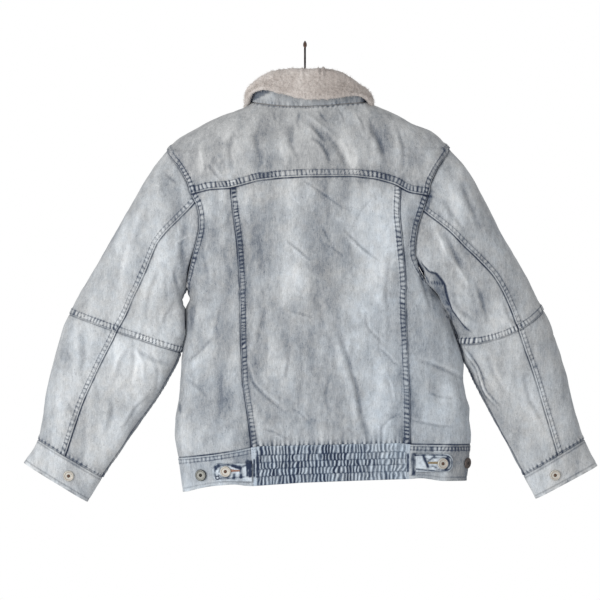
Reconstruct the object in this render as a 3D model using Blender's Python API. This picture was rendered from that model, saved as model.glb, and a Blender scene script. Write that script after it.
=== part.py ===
"""Denim trucker jacket with a sherpa collar, buttoned, hanging on a hanger.

Frame: metres, +Z up, origin at the inner top of the hanger's hook loop. The
front faces -Y, the back +Y, and the wearer's left side is +X.  All tables are
in millimetres; "drop" is the distance below the origin.  Each cloth piece is
a wall laid between shared seam lines, drawn back half a seam gap from them.
"""
import math

import bpy
import numpy as np

# ---------------------------------------------------------------- driving sizes
MM = 0.001
DENIM = 4.0            # shell wall: denim and the pile behind it
BAND = 4.6             # waistband and cuff wall
SEAM = 0.3             # gap between two pieces at a seam
SQUARE = 0.05          # squareness of a section: 0 is an ellipse
SHERPA = 7.5           # collar pile thickness
UNDER = 2.2            # denim under layer of the collar
ARM_DEPTH = 46.0       # half depth of an armhole, front to back
ARM_PIT = 389.0        # drop of both armpits
TIP_L, TIP_R = 170.0, 166.0          # drops of the shoulder tips
SLEEVE_RINGS_TOP = 5   # ring at the elbow seam
BUTTON_R, BUTTON_H = 8.5, 3.2
HOOK_WIRE, HOOK_LOOP = 1.75, 20.0    # wire radius, loop radius
STRAP_OUT = 0.35       # a piece that lies on a panel stands this far off it
PLACKET_HALF = 20.0

# edge of the body, or of the armhole where there is one: drop, reach in X
LEFT_EDGE = ((92, 81), (94, 83), (99, 91), (110, 118), (127, 157), (138, 177),
             (149, 196), (170, 217), (195, 199), (220, 185), (239, 179),
             (254, 170), (272, 166), (292, 166), (316, 171), (336, 177),
             (355, 182), (374, 185), (389, 185), (436, 188), (499, 195),
             (562, 199), (590, 204), (620, 204), (647, 199), (670, 196),
             (706, 192))
RIGHT_EDGE = ((90, -93), (93, -96), (98, -105), (109, -133), (126, -165),
              (138, -196), (150, -212), (166, -229), (196, -210), (221, -198),
              (243, -193), (267, -185), (292, -177), (316, -173), (336, -173),
              (353, -179), (372, -190), (389, -205), (405, -217), (422, -227), (454, -235),
              (474, -242), (506, -251), (534, -250), (556, -254), (575, -261),
              (592, -259), (615, -261), (659, -259), (706, -252))
# half depth of the section: drop, back, front
DEPTH = ((90, 35, 38), (101, 38, 42), (138, 46, 46), (170, 51, 49),
         (234, 57, 53), (310, 60, 56), (389, 60, 56), (470, 57, 54),
         (560, 54, 52), (640, 50, 50), (706, 49, 50))
# seams: x, drop
YOKE_SEAM = ((-260, 236), (-193, 236), (-163, 231), (-140, 218), (-111, 210),
             (-75, 206), (-2, 207), (39, 209), (74, 212), (102, 221),
             (118, 225), (151, 226), (177, 234), (260, 234))
NECK_BACK = ((-96, 93), (-91, 95), (-66, 97), (-35, 100), (-2, 102), (28, 101),
             (53, 99), (76, 96), (83, 94))
NECK_FRONT = ((-96, 93), (-91, 108), (-76, 128), (-56, 146), (-34, 158),
              (-2, 164), (22, 160), (44, 148), (63, 131), (77, 110), (83, 94))
WAIST_SEAM = ((-270, 632), (-168, 631), (-149, 629), (74, 634), (110, 641),
              (149, 645), (199, 647), (270, 647))
HEM = ((-270, 691), (-220, 689), (-160, 687), (-86, 692), (8, 696), (88, 696),
       (165, 702), (270, 706))
# seams: drop, x
BACK_SEAM_L = ((215, 112), (231, 111), (275, 107), (311, 102), (342, 100),
               (405, 97), (499, 95), (539, 93), (570, 88), (601, 82),
               (630, 75), (710, 75))
BACK_SEAM_R = ((205, -146), (229, -146), (264, -144), (309, -148), (363, -151),
               (405, -152), (499, -157), (539, -159), (570, -160), (710, -160))
FRONT_LINE = ((150, -2), (300, -5), (480, -11), (710, -18))
# sleeve rings on their way down: outer x, outer drop, inner x, inner drop,
# half depth, forward shift, bow of the middle down the arm
SLEEVE_L = ((243, 210, 189, 405, 44, 0, 0), (272, 257, 192, 429, 42, -1, 0),
            (297, 298, 193, 452, 41, -2, 0), (323, 341, 193, 473, 39, -4, 0),
            (372, 427, 195, 488, 37, -8, 2), (388, 468, 207, 518, 36, -12, 0),
            (400, 512, 240, 565, 34, -16, 0), (410, 556, 275, 617, 32, -20, 0),
            (421, 625, 320, 685, 29, -25, 0), (443, 663, 344, 724, 28, -28, 0))
SLEEVE_R = ((-251, 193, -229, 400, 44, 0, 0), (-272, 231, -237, 422, 42, -1, 4),
            (-290, 264, -242, 444, 41, -2, 8), (-311, 301, -248, 458, 39, -4, 12),
            (-377, 421, -251, 473, 37, -8, 16), (-394, 465, -257, 508, 36, -12, 8),
            (-410, 509, -279, 552, 34, -16, 0), (-422, 556, -304, 600, 32, -20, 0),
            (-441, 625, -345, 678, 29, -25, 0), (-462, 667, -365, 719, 28, -28, 0))
# turn of each lengthwise line of a sleeve from its outer edge, in degrees:
# the yoke seam meets line 4, the sleeve's back seam is line 5, the underarm
# seam is line 10
TURNS_L = (0, 16, 33, 49, 65.5, 77, 95, 112, 129, 147, 165, 180)
TURNS_R = (0, 16, 33, 50, 68.0, 82, 98, 114, 130, 147, 165, 180)
# collar: turn from the back centre, drop of the fold, length of the fall, gap
COLLAR = ((0, 44, 49, 4), (30, 44, 47, 4), (50, 45, 42, 4), (70, 53, 34, 4),
          (90, 66, 28, 5), (115, 82, 26, 6), (132, 94, 36, 7), (150, 106, 52, 7),
          (172, 116, 66, 7))

NAVY_GREY = (0.56, 0.60, 0.64, 1.0)
PALE = (0.60, 0.64, 0.68, 1.0)
SHERPA_WHITE = (0.78, 0.74, 0.71, 1.0)
SILVER = (0.72, 0.72, 0.70, 1.0)
DARK_METAL = (0.10, 0.09, 0.085, 1.0)
WOOD = (0.30, 0.17, 0.09, 1.0)


# ---------------------------------------------------------------- mesh helpers
def clear_scene():
    for obj in list(bpy.data.objects):
        bpy.data.objects.remove(obj, do_unlink=True)


def material(name, colour, roughness, metallic=0.0):
    mat = bpy.data.materials.new(name)
    mat.use_nodes = True
    node = mat.node_tree.nodes["Principled BSDF"]
    node.inputs["Base Color"].default_value = colour
    node.inputs["Roughness"].default_value = roughness
    node.inputs["Metallic"].default_value = metallic
    mat.diffuse_color = colour
    return mat


def add(name, points, faces, colour, roughness=0.9, metallic=0.0):
    """One closed object from points in millimetres; faces are turned outward."""
    points = np.asarray(points, float) * MM
    volume = 0.0
    for face in faces:
        a = points[face[0]]
        for i in range(1, len(face) - 1):
            volume += float(np.dot(a, np.cross(points[face[i]], points[face[i + 1]])))
    if volume < 0:
        faces = [tuple(reversed(face)) for face in faces]
    mesh = bpy.data.meshes.new(name)
    mesh.from_pydata([tuple(map(float, p)) for p in points], [], faces)
    mesh.update()
    mesh.materials.append(material(name, colour, roughness, metallic))
    obj = bpy.data.objects.new(name, mesh)
    bpy.context.scene.collection.objects.link(obj)
    mesh.shade_smooth()
    mesh.set_sharp_from_angle(angle=math.radians(40))
    return obj


def unit(v):
    v = np.asarray(v, float)
    return v / np.maximum(np.linalg.norm(v, axis=-1, keepdims=True), 1e-9)


def drawn_back(grid, wrap):
    """The grid with its open edges moved in by half a seam gap."""
    out = grid.copy()
    half = SEAM / 2
    out[0] += half * unit(grid[1] - grid[0])
    out[-1] += half * unit(grid[-2] - grid[-1])
    if not wrap:
        out[:, 0] += half * unit(grid[:, 1] - grid[:, 0])
        out[:, -1] += half * unit(grid[:, -2] - grid[:, -1])
    return out


def wall(name, outer, inner, colour, wrap=False, roughness=0.9):
    """A closed wall between two grids of rows and columns.  Its end faces are
    split along the diagonal that the neighbour's end faces take too."""
    key = (outer @ np.array([0.61, 0.37, 0.23])).reshape(-1)
    outer, inner = drawn_back(outer, wrap), drawn_back(inner, wrap)
    rows, cols = outer.shape[:2]
    size = rows * cols
    points = np.concatenate([outer.reshape(-1, 3), inner.reshape(-1, 3)])
    faces = []

    def end(a, b):
        if key[a] < key[b]:
            faces.extend([(a, b, size + b), (a, size + b, size + a)])
        else:
            faces.extend([(a, b, size + a), (b, size + b, size + a)])

    steps = cols if wrap else cols - 1
    for r in range(rows - 1):
        for c in range(steps):
            d = (c + 1) % cols
            a, b, e, f = r * cols + c, r * cols + d, (r + 1) * cols + d, (r + 1) * cols + c
            faces += [(a, b, e), (a, e, f)]
            faces += [(size + e, size + b, size + a), (size + f, size + e, size + a)]
    last = (rows - 1) * cols
    for c in range(steps):
        d = (c + 1) % cols
        end(d, c)
        end(last + c, last + d)
    if not wrap:
        for r in range(rows - 1):
            end(r * cols, (r + 1) * cols)
            end((r + 2) * cols - 1, (r + 1) * cols - 1)
    return add(name, points, faces, colour, roughness)


def turned(name, origin, axis, profile, sides, colour, roughness, metallic):
    """A solid turned about an axis; the profile is (radius, height) pairs."""
    axis = unit(axis)
    side = unit(np.cross(axis, (0.0, 0.0, 1.0) if abs(axis[2]) < 0.9 else (1.0, 0.0, 0.0)))
    other = np.cross(axis, side)
    points = [np.asarray(origin, float) + axis * profile[0][1]]
    for radius, height in profile:
        for k in range(sides):
            t = 2 * math.pi * k / sides
            points.append(np.asarray(origin, float) + axis * height
                          + radius * (math.cos(t) * side + math.sin(t) * other))
    points.append(np.asarray(origin, float) + axis * profile[-1][1])
    faces = []
    for k in range(sides):
        faces.append((0, 1 + (k + 1) % sides, 1 + k))
    for r in range(len(profile) - 1):
        for k in range(sides):
            a, b = 1 + r * sides + k, 1 + r * sides + (k + 1) % sides
            faces.append((a, b, b + sides, a + sides))
    last = 1 + (len(profile) - 1) * sides
    for k in range(sides):
        faces.append((last + k, last + (k + 1) % sides, len(points) - 1))
    return add(name, points, faces, colour, roughness, metallic)


def swept(name, path, half_a, half_b, sides, colour, roughness, metallic=0.0, across=(0, 1, 0)):
    """A solid bar along a path; half_a is its reach across, half_b the other way."""
    path = np.asarray(path, float)
    tangent = unit(np.gradient(path, axis=0))
    points, faces = [], []
    for i, p in enumerate(path):
        b = unit(np.cross(tangent[i], across))
        a = unit(np.cross(b, tangent[i]))
        for k in range(sides):
            t = 2 * math.pi * k / sides
            points.append(p + half_a[i] * math.cos(t) * a + half_b[i] * math.sin(t) * b)
    for i in range(len(path) - 1):
        for k in range(sides):
            a, b = i * sides + k, i * sides + (k + 1) % sides
            faces.append((a, b, b + sides, a + sides))
    faces.append(tuple(range(sides - 1, -1, -1)))
    last = (len(path) - 1) * sides
    faces.append(tuple(range(last, last + sides)))
    return add(name, points, faces, colour, roughness, metallic)


# ---------------------------------------------------------------- torso surface
def column(table, number):
    return np.array([row[number] for row in table], float)


def read(table, x, number=1):
    return np.interp(x, column(table, 0), column(table, number))


def softened(table, drop):
    """The edge's reach averaged over a hand's width of height."""
    return np.mean([read(table, drop + k) for k in (-30, -20, -10, 0, 10, 20, 30)], axis=0)


def side_x(phi):
    return (np.sin(phi) + SQUARE * np.sin(3 * phi)) / (1 - SQUARE)


def side_y(phi):
    return (np.cos(phi) - SQUARE * np.cos(3 * phi)) / (1 - SQUARE)


def torso(q, drop, face):
    """Point of the body: q is -1 at the right edge and 1 at the left, face 1 is the back."""
    left = q >= 0
    tip = TIP_L if left else TIP_R
    table = LEFT_EDGE if left else RIGHT_EDGE
    t = min(max((drop - tip) / (ARM_PIT - tip), 0.0), 1.0)
    open_y = ARM_DEPTH * math.sqrt(max(0.0, 1 - (2 * t - 1) ** 2))
    most = math.radians(90 - 30 * math.sin(math.pi * t) ** 0.8 if 0 < t < 1 else 90)
    middle = 0.5 * (softened(LEFT_EDGE, drop) + softened(RIGHT_EDGE, drop))
    phi = abs(q) * most
    part = side_x(phi) / side_x(most)
    w = min(1.0, part) ** 4
    reach = (1 - w) * (softened(table, drop) - middle) + w * (read(table, drop) - middle)
    depth = float(read(DEPTH, drop, 1 if face > 0 else 2))
    base = side_y(most)
    y = open_y + (depth - open_y) * (side_y(phi) - base) / (1 - base)
    return np.array([middle + part * reach, face * y, -drop])


def torso_normal(q, drop, face, up=False, down=False):
    dq, dd = 1e-3, 0.05
    along = torso(q + dq, drop, face) - torso(q - dq, drop, face)
    low = torso(q, drop if up else drop + dd, face)
    high = torso(q, drop if down else drop - dd, face)
    n = unit(np.cross(along, low - high))
    centre = np.array([-10.0, 0.0, -drop])
    away = torso(q, drop, face) - centre
    away[0] *= 0.2
    return n if np.dot(n, away) > 0 else -n


def q_at(x, drop, face=1):
    tries = np.linspace(-1, 1, 161)
    return float(np.interp(x, [torso(q, drop, face)[0] for q in tries], tries))


def drop_on(q, face, line, guess):
    """Drop where the lengthwise line q crosses a seam given as drop over x."""
    drop = guess
    for _ in range(12):
        drop = float(read(line, torso(q, drop, face)[0]))
    return drop


def inside(x, y, drop, grow):
    if drop < 93:
        return False
    face = 1 if y > 0 else -1
    low, high = torso(-1, drop, face)[0], torso(1, drop, face)[0]
    if not low - grow < x < high + grow:
        return False
    q = q_at(min(max(x, low), high), drop, face)
    return abs(y) < abs(torso(q, drop, face)[1]) + grow


# ---------------------------------------------------------------- armholes
def arm_drop(side, turn):
    tip = TIP_L if side > 0 else TIP_R
    return tip + (ARM_PIT - tip) * (1 - math.cos(math.radians(turn))) / 2


def arm_point(side, turn):
    drop = arm_drop(side, abs(turn))
    return torso(side, drop, 1 if turn >= 0 else -1)


def ring_point(side, number, turn):
    """Point of sleeve ring 0, the armhole, or of a ring of the sleeve's table."""
    turn = (turn + 180.0) % 360.0 - 180.0
    if number == 0:
        return arm_point(side, turn)
    ox, od, ix, idrop, half, shift, bow = (SLEEVE_L if side > 0 else SLEEVE_R)[number - 1]
    outer, inner = np.array([ox, 0.0, -od]), np.array([ix, 0.0, -idrop])
    a = math.radians(turn)
    e = 0.04
    along = (math.cos(a) - e * math.cos(3 * a)) / (1 - e)
    deep = (math.sin(a) + e * math.sin(3 * a)) / (1 - e)
    down = unit(np.array([-(outer - inner)[2], 0.0, (outer - inner)[0]]))
    down = down if down[2] < 0 else -down
    return ((outer + inner) / 2 + (outer - inner) / 2 * along
            + np.array([0.0, half * deep + shift, 0.0]) + down * bow * math.sin(a) ** 2)


def sleeve(side, s, turn):
    """Point of a sleeve: s runs over the rings, smooth along the arm."""
    count = len(SLEEVE_L)
    i = min(int(math.floor(s)), count - 1)
    f = s - i
    p = [ring_point(side, min(max(k, 0), count), turn) for k in (i - 1, i, i + 1, i + 2)]
    if i == 0:
        p[0] = 2 * p[1] - p[2]
    if i + 2 > count:
        p[3] = 2 * p[2] - p[1]
    return (p[1] + 0.5 * f * (p[2] - p[0] + f * (2 * p[0] - 5 * p[1] + 4 * p[2] - p[3]
            + f * (3 * (p[1] - p[2]) + p[3] - p[0]))))


def sleeve_normal(side, s, turn):
    count = len(SLEEVE_L)
    a, b = max(0.0, s - 0.02), min(float(count), s + 0.02)
    round_it = sleeve(side, s, turn + 0.5) - sleeve(side, s, turn - 0.5)
    n = unit(np.cross(round_it, sleeve(side, b, turn) - sleeve(side, a, turn)))
    centre = 0.5 * (sleeve(side, s, 0) + sleeve(side, s, 180))
    return n if np.dot(n, sleeve(side, s, turn) - centre) > 0 else -n


def seam_walls(side, turn):
    """Wall directions of the body and of the sleeve at the armhole, and how far
    the cloth folds back there: one shared mitre where it runs on, and each
    wall's own direction where it folds back on itself."""
    face = 1 if turn >= 0 else -1
    drop = arm_drop(side, abs(turn))
    here = arm_point(side, turn)
    along = arm_point(side, turn + 7) - arm_point(side, turn - 7) if 1 < abs(turn) < 179 else np.array([0, 1.0, 0])
    if abs(turn) < 1:
        into = torso(side, drop - 25, 1) - here
    elif abs(turn) > 179:
        into = torso(side, drop + 25, 1) - here
    else:
        into = torso(side * 0.8, drop, face) - here
    leaves = ring_point(side, 1, turn) - here
    body, arm = unit(np.cross(along, into)), unit(np.cross(along, leaves))
    body = body if np.dot(body, np.array([side * 0.6, face if 1 < abs(turn) < 179 else 0, 0.5 if abs(turn) < 90 else 0])) > 0 else -body
    centre = 0.5 * (ring_point(side, 1, 0) + ring_point(side, 1, 180))
    arm = arm if np.dot(arm, 0.5 * (here + ring_point(side, 1, turn)) - 0.5 * (centre + 0.5 * (arm_point(side, 0) + arm_point(side, 180)))) > 0 else -arm
    leaves = unit(leaves)
    apart = math.degrees(math.acos(max(-1.0, min(1.0, float(np.dot(body, arm))))))
    fold = min(1.0, max(0.0, (apart - 60) / 30)) * min(1.0, max(0.0, float(np.dot(body, leaves)) / 0.15))
    shared = unit(body + arm)
    return (unit((1 - fold) * shared + fold * body),
            unit((1 - fold) * shared + fold * arm), fold)


# ---------------------------------------------------------------- panel grids
SHOULDER_STEPS = 3
LOWER_STEPS = 8


def edge_rows(side):
    """Drops of the rows along a side edge, from the neck to the waist."""
    neck = 94.0 if side > 0 else 93.0
    tip = TIP_L if side > 0 else TIP_R
    waist = float(read(WAIST_SEAM, 200 * side))
    turns = TURNS_L if side > 0 else TURNS_R
    rows = [neck + (tip - neck) * k / SHOULDER_STEPS for k in range(SHOULDER_STEPS)]
    rows += [arm_drop(side, t) for t in turns]
    rows += [ARM_PIT + (waist - ARM_PIT) * k / LOWER_STEPS for k in range(1, LOWER_STEPS + 1)]
    return np.array(rows)


YOKE_ROW = SHOULDER_STEPS + 4          # row of edge_rows where the yoke seam starts
ARM_ROWS = range(SHOULDER_STEPS, SHOULDER_STEPS + len(TURNS_L))


def edge_normal(side, row, drop, face):
    if row in ARM_ROWS:
        turn = (TURNS_L if side > 0 else TURNS_R)[row - SHOULDER_STEPS]
        return seam_walls(side, turn * face)[0]
    return torso_normal(side, drop, face)


def ruled(face, left_q, left_f, right_q, right_f, top, bottom, steps, guess):
    """Rows and columns between two lengthwise edges and two cross seams.
    left_f and right_f are the rows' shares of the way down."""
    rows = len(left_f)
    points = np.zeros((rows, steps + 1, 3))
    normals = np.zeros((rows, steps + 1, 3))
    for c in range(steps + 1):
        u = c / steps
        q0, q1 = (1 - u) * left_q[0] + u * right_q[0], (1 - u) * left_q[-1] + u * right_q[-1]
        d0, d1 = drop_on(q0, face, top, guess[0]), drop_on(q1, face, bottom, guess[1])
        for r in range(rows):
            f = (1 - u) * left_f[r] + u * right_f[r]
            q = (1 - u) * left_q[r] + u * right_q[r]
            drop = d0 + (d1 - d0) * f
            points[r, c] = torso(q, drop, face)
            normals[r, c] = torso_normal(q, drop, face)
    return points, normals


def fix_edge(points, normals, column_number, side, first_row, drops, face):
    for r, drop in enumerate(drops):
        points[r, column_number] = torso(side, drop, face)
        normals[r, column_number] = edge_normal(side, first_row + r, drop, face)


def shares(drops):
    return (drops - drops[0]) / (drops[-1] - drops[0])


def back_seam_q(table, side, top_drop, bottom_drop, share):
    return np.array([q_at(float(read(table, top_drop + (bottom_drop - top_drop) * f)),
                          top_drop + (bottom_drop - top_drop) * f) for f in share])


def build_torso():
    rows_l, rows_r = edge_rows(1), edge_rows(-1)
    yoke_l, yoke_r = rows_l[:YOKE_ROW + 1], rows_r[:YOKE_ROW + 1]
    low_l, low_r = rows_l[YOKE_ROW:], rows_r[YOKE_ROW:]
    fl, fr = shares(low_l), shares(low_r)
    seam_l = back_seam_q(BACK_SEAM_L, 1, float(read(YOKE_SEAM, 111)), float(read(WAIST_SEAM, 75)), fl)
    seam_r = back_seam_q(BACK_SEAM_R, -1, float(read(YOKE_SEAM, -146)), float(read(WAIST_SEAM, -160)), fr)
    one = np.ones(len(fl))
    side_steps, mid_steps, front_steps = 5, 8, 7

    left = ruled(1, one, fl, seam_l, fl, YOKE_SEAM, WAIST_SEAM, side_steps, (225, 640))
    fix_edge(*left, 0, 1, YOKE_ROW, low_l, 1)
    mid = ruled(1, seam_l, fl, seam_r, fr, YOKE_SEAM, WAIST_SEAM, mid_steps, (210, 632))
    right = ruled(1, seam_r, fr, -one, fr, YOKE_SEAM, WAIST_SEAM, side_steps, (225, 632))
    fix_edge(*right, -1, -1, YOKE_ROW, low_r, 1)
    feet = {}
    ends = {"back_side_L": (1, seam_l[-1]), "back_center": (seam_l[-1], seam_r[-1]),
            "back_side_R": (seam_r[-1], -1)}
    for name, (p, n) in (("back_side_L", left), ("back_center", mid), ("back_side_R", right)):
        wall(name, p, p - DENIM * n, PALE)
        qs = np.linspace(*ends[name], p.shape[1])
        feet[name] = [(qs[c], 1, p[-1, c], n[-1, c]) for c in range(p.shape[1])]

    # The yoke shares the three panels' points along its lower edge.
    bottom_p = np.concatenate([left[0][0], mid[0][0][1:], right[0][0][1:]])
    bottom_n = np.concatenate([left[1][0], mid[1][0][1:], right[1][0][1:]])
    qs = np.concatenate([np.linspace(1, seam_l[0], side_steps + 1),
                         np.linspace(seam_l[0], seam_r[0], mid_steps + 1)[1:],
                         np.linspace(seam_r[0], -1, side_steps + 1)[1:]])
    tl, tr = shares(yoke_l), shares(yoke_r)
    p = np.zeros((len(tl), len(qs), 3))
    n = np.zeros_like(p)
    even = np.linspace(1, -1, len(qs))
    for c, q_low in enumerate(qs):
        u = c / (len(qs) - 1)
        d0 = drop_on(even[c], 1, NECK_BACK, 98)
        d1 = -bottom_p[c][2]
        for r in range(len(tl)):
            f = (1 - u) * tl[r] + u * tr[r]
            q = even[c] + (q_low - even[c]) * f
            p[r, c] = torso(q, d0 + (d1 - d0) * f, 1)
            n[r, c] = torso_normal(q, d0 + (d1 - d0) * f, 1)
    p[-1], n[-1] = bottom_p, bottom_n
    fix_edge(p, n, 0, 1, 0, yoke_l, 1)
    fix_edge(p, n, -1, -1, 0, yoke_r, 1)
    wall("back_yoke", p, p - DENIM * n, NAVY_GREY)

    # Fronts: from each side edge to the edge of the placket.
    for name, side, rows in (("front_L", 1, rows_l), ("front_R", -1, rows_r)):
        f = shares(rows)
        x0 = float(read(FRONT_LINE, 160)) + side * PLACKET_HALF
        top = float(read(NECK_FRONT, x0))
        low = float(read(WAIST_SEAM, 0))
        edge_q = np.array([q_at(float(read(FRONT_LINE, top + (low - top) * k)) + side * PLACKET_HALF,
                                top + (low - top) * k, -1) for k in f])
        steps = front_steps
        p = np.zeros((len(rows), steps + 1, 3))
        n = np.zeros_like(p)
        for c in range(steps + 1):
            u = c / steps
            x = float(rows[0] * 0) + (83.0 if side > 0 else -96.0) * (1 - u) + x0 * u
            d0 = float(read(NECK_FRONT, x))
            q0 = q_at(x, d0, -1) if c else float(side)
            q1 = side * (1 - u) + edge_q[-1] * u
            d1 = drop_on(q1, -1, WAIST_SEAM, 640)
            for r in range(len(rows)):
                drop = d0 + (d1 - d0) * f[r]
                base = side * (1 - u) + edge_q[r] * u
                bend = (q0 - (side * (1 - u) + edge_q[0] * u)) * (1 - f[r]) ** 3
                p[r, c] = torso(base + bend, drop, -1)
                n[r, c] = torso_normal(base + bend, drop, -1)
        fix_edge(p, n, 0, side, 0, rows, -1)
        wall(name, p, p - DENIM * n, PALE)
        qs = np.linspace(side, edge_q[-1], steps + 1)
        feet[name] = [(qs[c], -1, p[-1, c], n[-1, c]) for c in range(steps + 1)]

    # Placket strip between the fronts, a little proud of them.
    f = shares(rows_l)[::2]
    p = np.zeros((len(f), 3, 3))
    n = np.zeros_like(p)
    for c, off in enumerate((PLACKET_HALF, 0.0, -PLACKET_HALF)):
        for r, k in enumerate(f):
            top = float(read(NECK_FRONT, float(read(FRONT_LINE, 160)) + off))
            low = float(read(WAIST_SEAM, float(read(FRONT_LINE, 632)) + off))
            drop = top + (low - top) * k
            x = float(read(FRONT_LINE, drop)) + off * 0.985
            q = q_at(x, drop, -1)
            n[r, c] = torso_normal(q, drop, -1)
            p[r, c] = torso(q, drop, -1) + 1.6 * n[r, c]
    wall("placket", p, p - (DENIM + 1.0) * n, PALE)
    feet["placket"] = [(q_at(*(p[-1, c] - 1.6 * n[-1, c])[[0, 2]] * (1, -1), -1), -1,
                        p[-1, c] - 1.6 * n[-1, c], n[-1, c]) for c in range(3)]
    return feet


def band_piece(name, feet, colour):
    """A length of waistband under the feet of the panels: (q, face, point, normal)."""
    rows = 4
    p = np.zeros((rows, len(feet), 3))
    n = np.zeros_like(p)
    for c, (q, face, point, normal) in enumerate(feet):
        d0, d1 = -point[2], drop_on(q, face, HEM, 690)
        for r in range(rows):
            drop = d0 + (d1 - d0) * r / (rows - 1)
            p[r, c], n[r, c] = torso(q, drop, face), torso_normal(q, drop, face)
        p[0, c], n[0, c] = point, normal
    wall(name, p, p - BAND * n, colour)


def build_band(feet):
    back_l, back_m, back_r, front_l, front_r, middle = (
        feet[k] for k in ("back_side_L", "back_center", "back_side_R", "front_L", "front_R", "placket"))
    band_piece("waistband_back_elastic", back_m, NAVY_GREY)
    band_piece("waistband_L", front_l[::-1] + back_l[1:], PALE)
    band_piece("waistband_R", back_r + front_r[1:] + middle[1:-1][::-1] + [front_l[-1]], PALE)


# ---------------------------------------------------------------- trim
# adjuster tabs on the waistband: x of the sewn end, x of the round end,
# drop of the top edge, drop of the bottom edge, x and drop of the button
TABS = {"L": (83, 145, 661, 690, 124, 674), "R": (-172, -230, 648, 672, -215, 661)}
TAB_THICK = 2.6
ADJUSTERS = {"L": (163, 680), "R": (-252.0, 661)}


def on_band(x, drop):
    q = q_at(x, drop, 1)
    return torso(q, drop, 1), torso_normal(q, drop, 1)


def build_tabs():
    for key, (x0, x1, top, low, bx, bd) in TABS.items():
        steps = 8
        half, middle = (low - top) / 2, (low + top) / 2
        p = np.zeros((3, steps + 1, 3))
        n = np.zeros_like(p)
        for c in range(steps + 1):
            u = c / steps
            x = x0 + (x1 - x0) * u
            near_end = max(0.0, 1 - abs(x1 - x) / half)
            h = half * max(0.35, math.sqrt(max(0.0, 1 - near_end ** 2)))
            for r, v in enumerate((-1, 0, 1)):
                p[r, c], n[r, c] = on_band(x, middle + v * h)
        wall("tab_" + key, p + (STRAP_OUT + TAB_THICK) * n, p + STRAP_OUT * n, NAVY_GREY)
        q, m = on_band(bx, bd)
        button("tab_button_" + key, q + (STRAP_OUT + TAB_THICK + 0.5) * m, m)
        x, drop = ADJUSTERS[key]
        q, m = on_band(x, drop)
        button("adjust_button_" + key, q + 0.5 * m, m)


def button(name, origin, axis):
    r, h = BUTTON_R, BUTTON_H
    turned(name, origin, axis, ((r - 1.0, 0.0), (r, 1.0), (r - 0.6, h - 0.4), (r - 1.8, h),
                                (r - 3.0, h - 0.9), (2.2, h - 0.9)), 12, SILVER, 0.35, 1.0)


def build_front_trim():
    drops = (186, 272, 358, 444, 530, 612)
    for k, drop in enumerate(drops):
        q = q_at(float(read(FRONT_LINE, drop)), drop, -1)
        m = torso_normal(q, drop, -1)
        button("front_button_%d" % (k + 1), torso(q, drop, -1) + 2.1 * m, m)
    drop = 661
    q = q_at(float(read(FRONT_LINE, drop)), drop, -1)
    m = torso_normal(q, drop, -1)
    button("waist_button", torso(q, drop, -1) + 0.5 * m, m)
    # slanted hand pocket welts on the fronts: top and bottom ends, x and drop
    for name, (xa, da, xb, db) in {"welt_L": (120, 440, 158, 575), "welt_R": (-152, 440, -205, 575)}.items():
        p = np.zeros((7, 3, 3))
        n = np.zeros_like(p)
        for r in range(7):
            u = r / 6
            for c, off in enumerate((-11, 0, 11)):
                drop = da + (db - da) * u
                x = xa + (xb - xa) * u + off
                q = q_at(x, drop, -1)
                n[r, c] = torso_normal(q, drop, -1)
                p[r, c] = torso(q, drop, -1)
        wall(name, p + (STRAP_OUT + 2.4) * n, p + STRAP_OUT * n, NAVY_GREY)


# ---------------------------------------------------------------- sleeves
def build_sleeve(side, key):
    turns = list(TURNS_L if side > 0 else TURNS_R)
    front = [-t for t in turns[1:]]                       # -16 ... -180
    top = [turns[5 - k] for k in range(6)] + front + [-360 + turns[10]]
    under = turns[5:11]
    for part, s_rows in (("upper", (0, 1, 2, 3, 4, 5)), ("lower", (5, 6, 7, 8, 9))):
        for piece, lines in (("top", top), ("under", under)):
            p = np.array([[sleeve(side, s, t) for t in lines] for s in s_rows])
            n = np.array([[sleeve_normal(side, s, t) for t in lines] for s in s_rows])
            if s_rows[0] == 0:
                for c, t in enumerate(lines):
                    turn = t + 360 if t < -180 else t
                    _, n[0, c], fold = seam_walls(side, turn)
                    p[0, c] = arm_point(side, turn) - 1.5 * SEAM * fold * n[0, c]
            wall("sleeve_%s_%s_%s" % (part, piece, key), p, p - DENIM * n, PALE)
    lines = [t for t in turns[:-1]] + [-t for t in reversed(turns[1:])]
    p = np.array([[sleeve(side, s, t) for t in lines] for s in (9, 9.5, 10)])
    n = np.array([[sleeve_normal(side, s, t) for t in lines] for s in (9, 9.5, 9.99)])
    wall("cuff_" + key, p, p - BAND * n, NAVY_GREY, wrap=True)
    q, m = sleeve(side, 9.5, 100), sleeve_normal(side, 9.5, 100)
    button("cuff_button_" + key, q + 0.6 * m, m)


# ---------------------------------------------------------------- collar
def neck_base(turn):
    """Point of the neck seam: turn is 0 at the back middle, 90 at the left side."""
    side = 1 if turn >= 0 else -1
    a = min(abs(turn), 180.0)
    left, right = 83.0, -96.0
    middle = -6.0
    reach = (left if side > 0 else right) - middle
    x = middle + reach * math.sin(math.radians(a))
    face = 1 if a <= 90 else -1
    line = NECK_BACK if face > 0 else NECK_FRONT
    drop = float(read(line, x))
    q = q_at(x, drop, face)
    p = torso(q, drop, face)
    if abs(a - 90) < 1e-6:
        p[1] = 0.0
    return p


def fall_way(r, z, fall, radius, lean):
    """Points down the fall, which leans further out towards its edge."""
    steps = 5
    size = max(6.0, fall - radius * 0.6) / steps
    way = []
    for k in range(steps):
        a = math.radians(lean * min(1.0, (k + 1) / 3))
        r, z = r + size * math.sin(a), z - size * math.cos(a)
        way.append((r, z))
    return way


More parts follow.
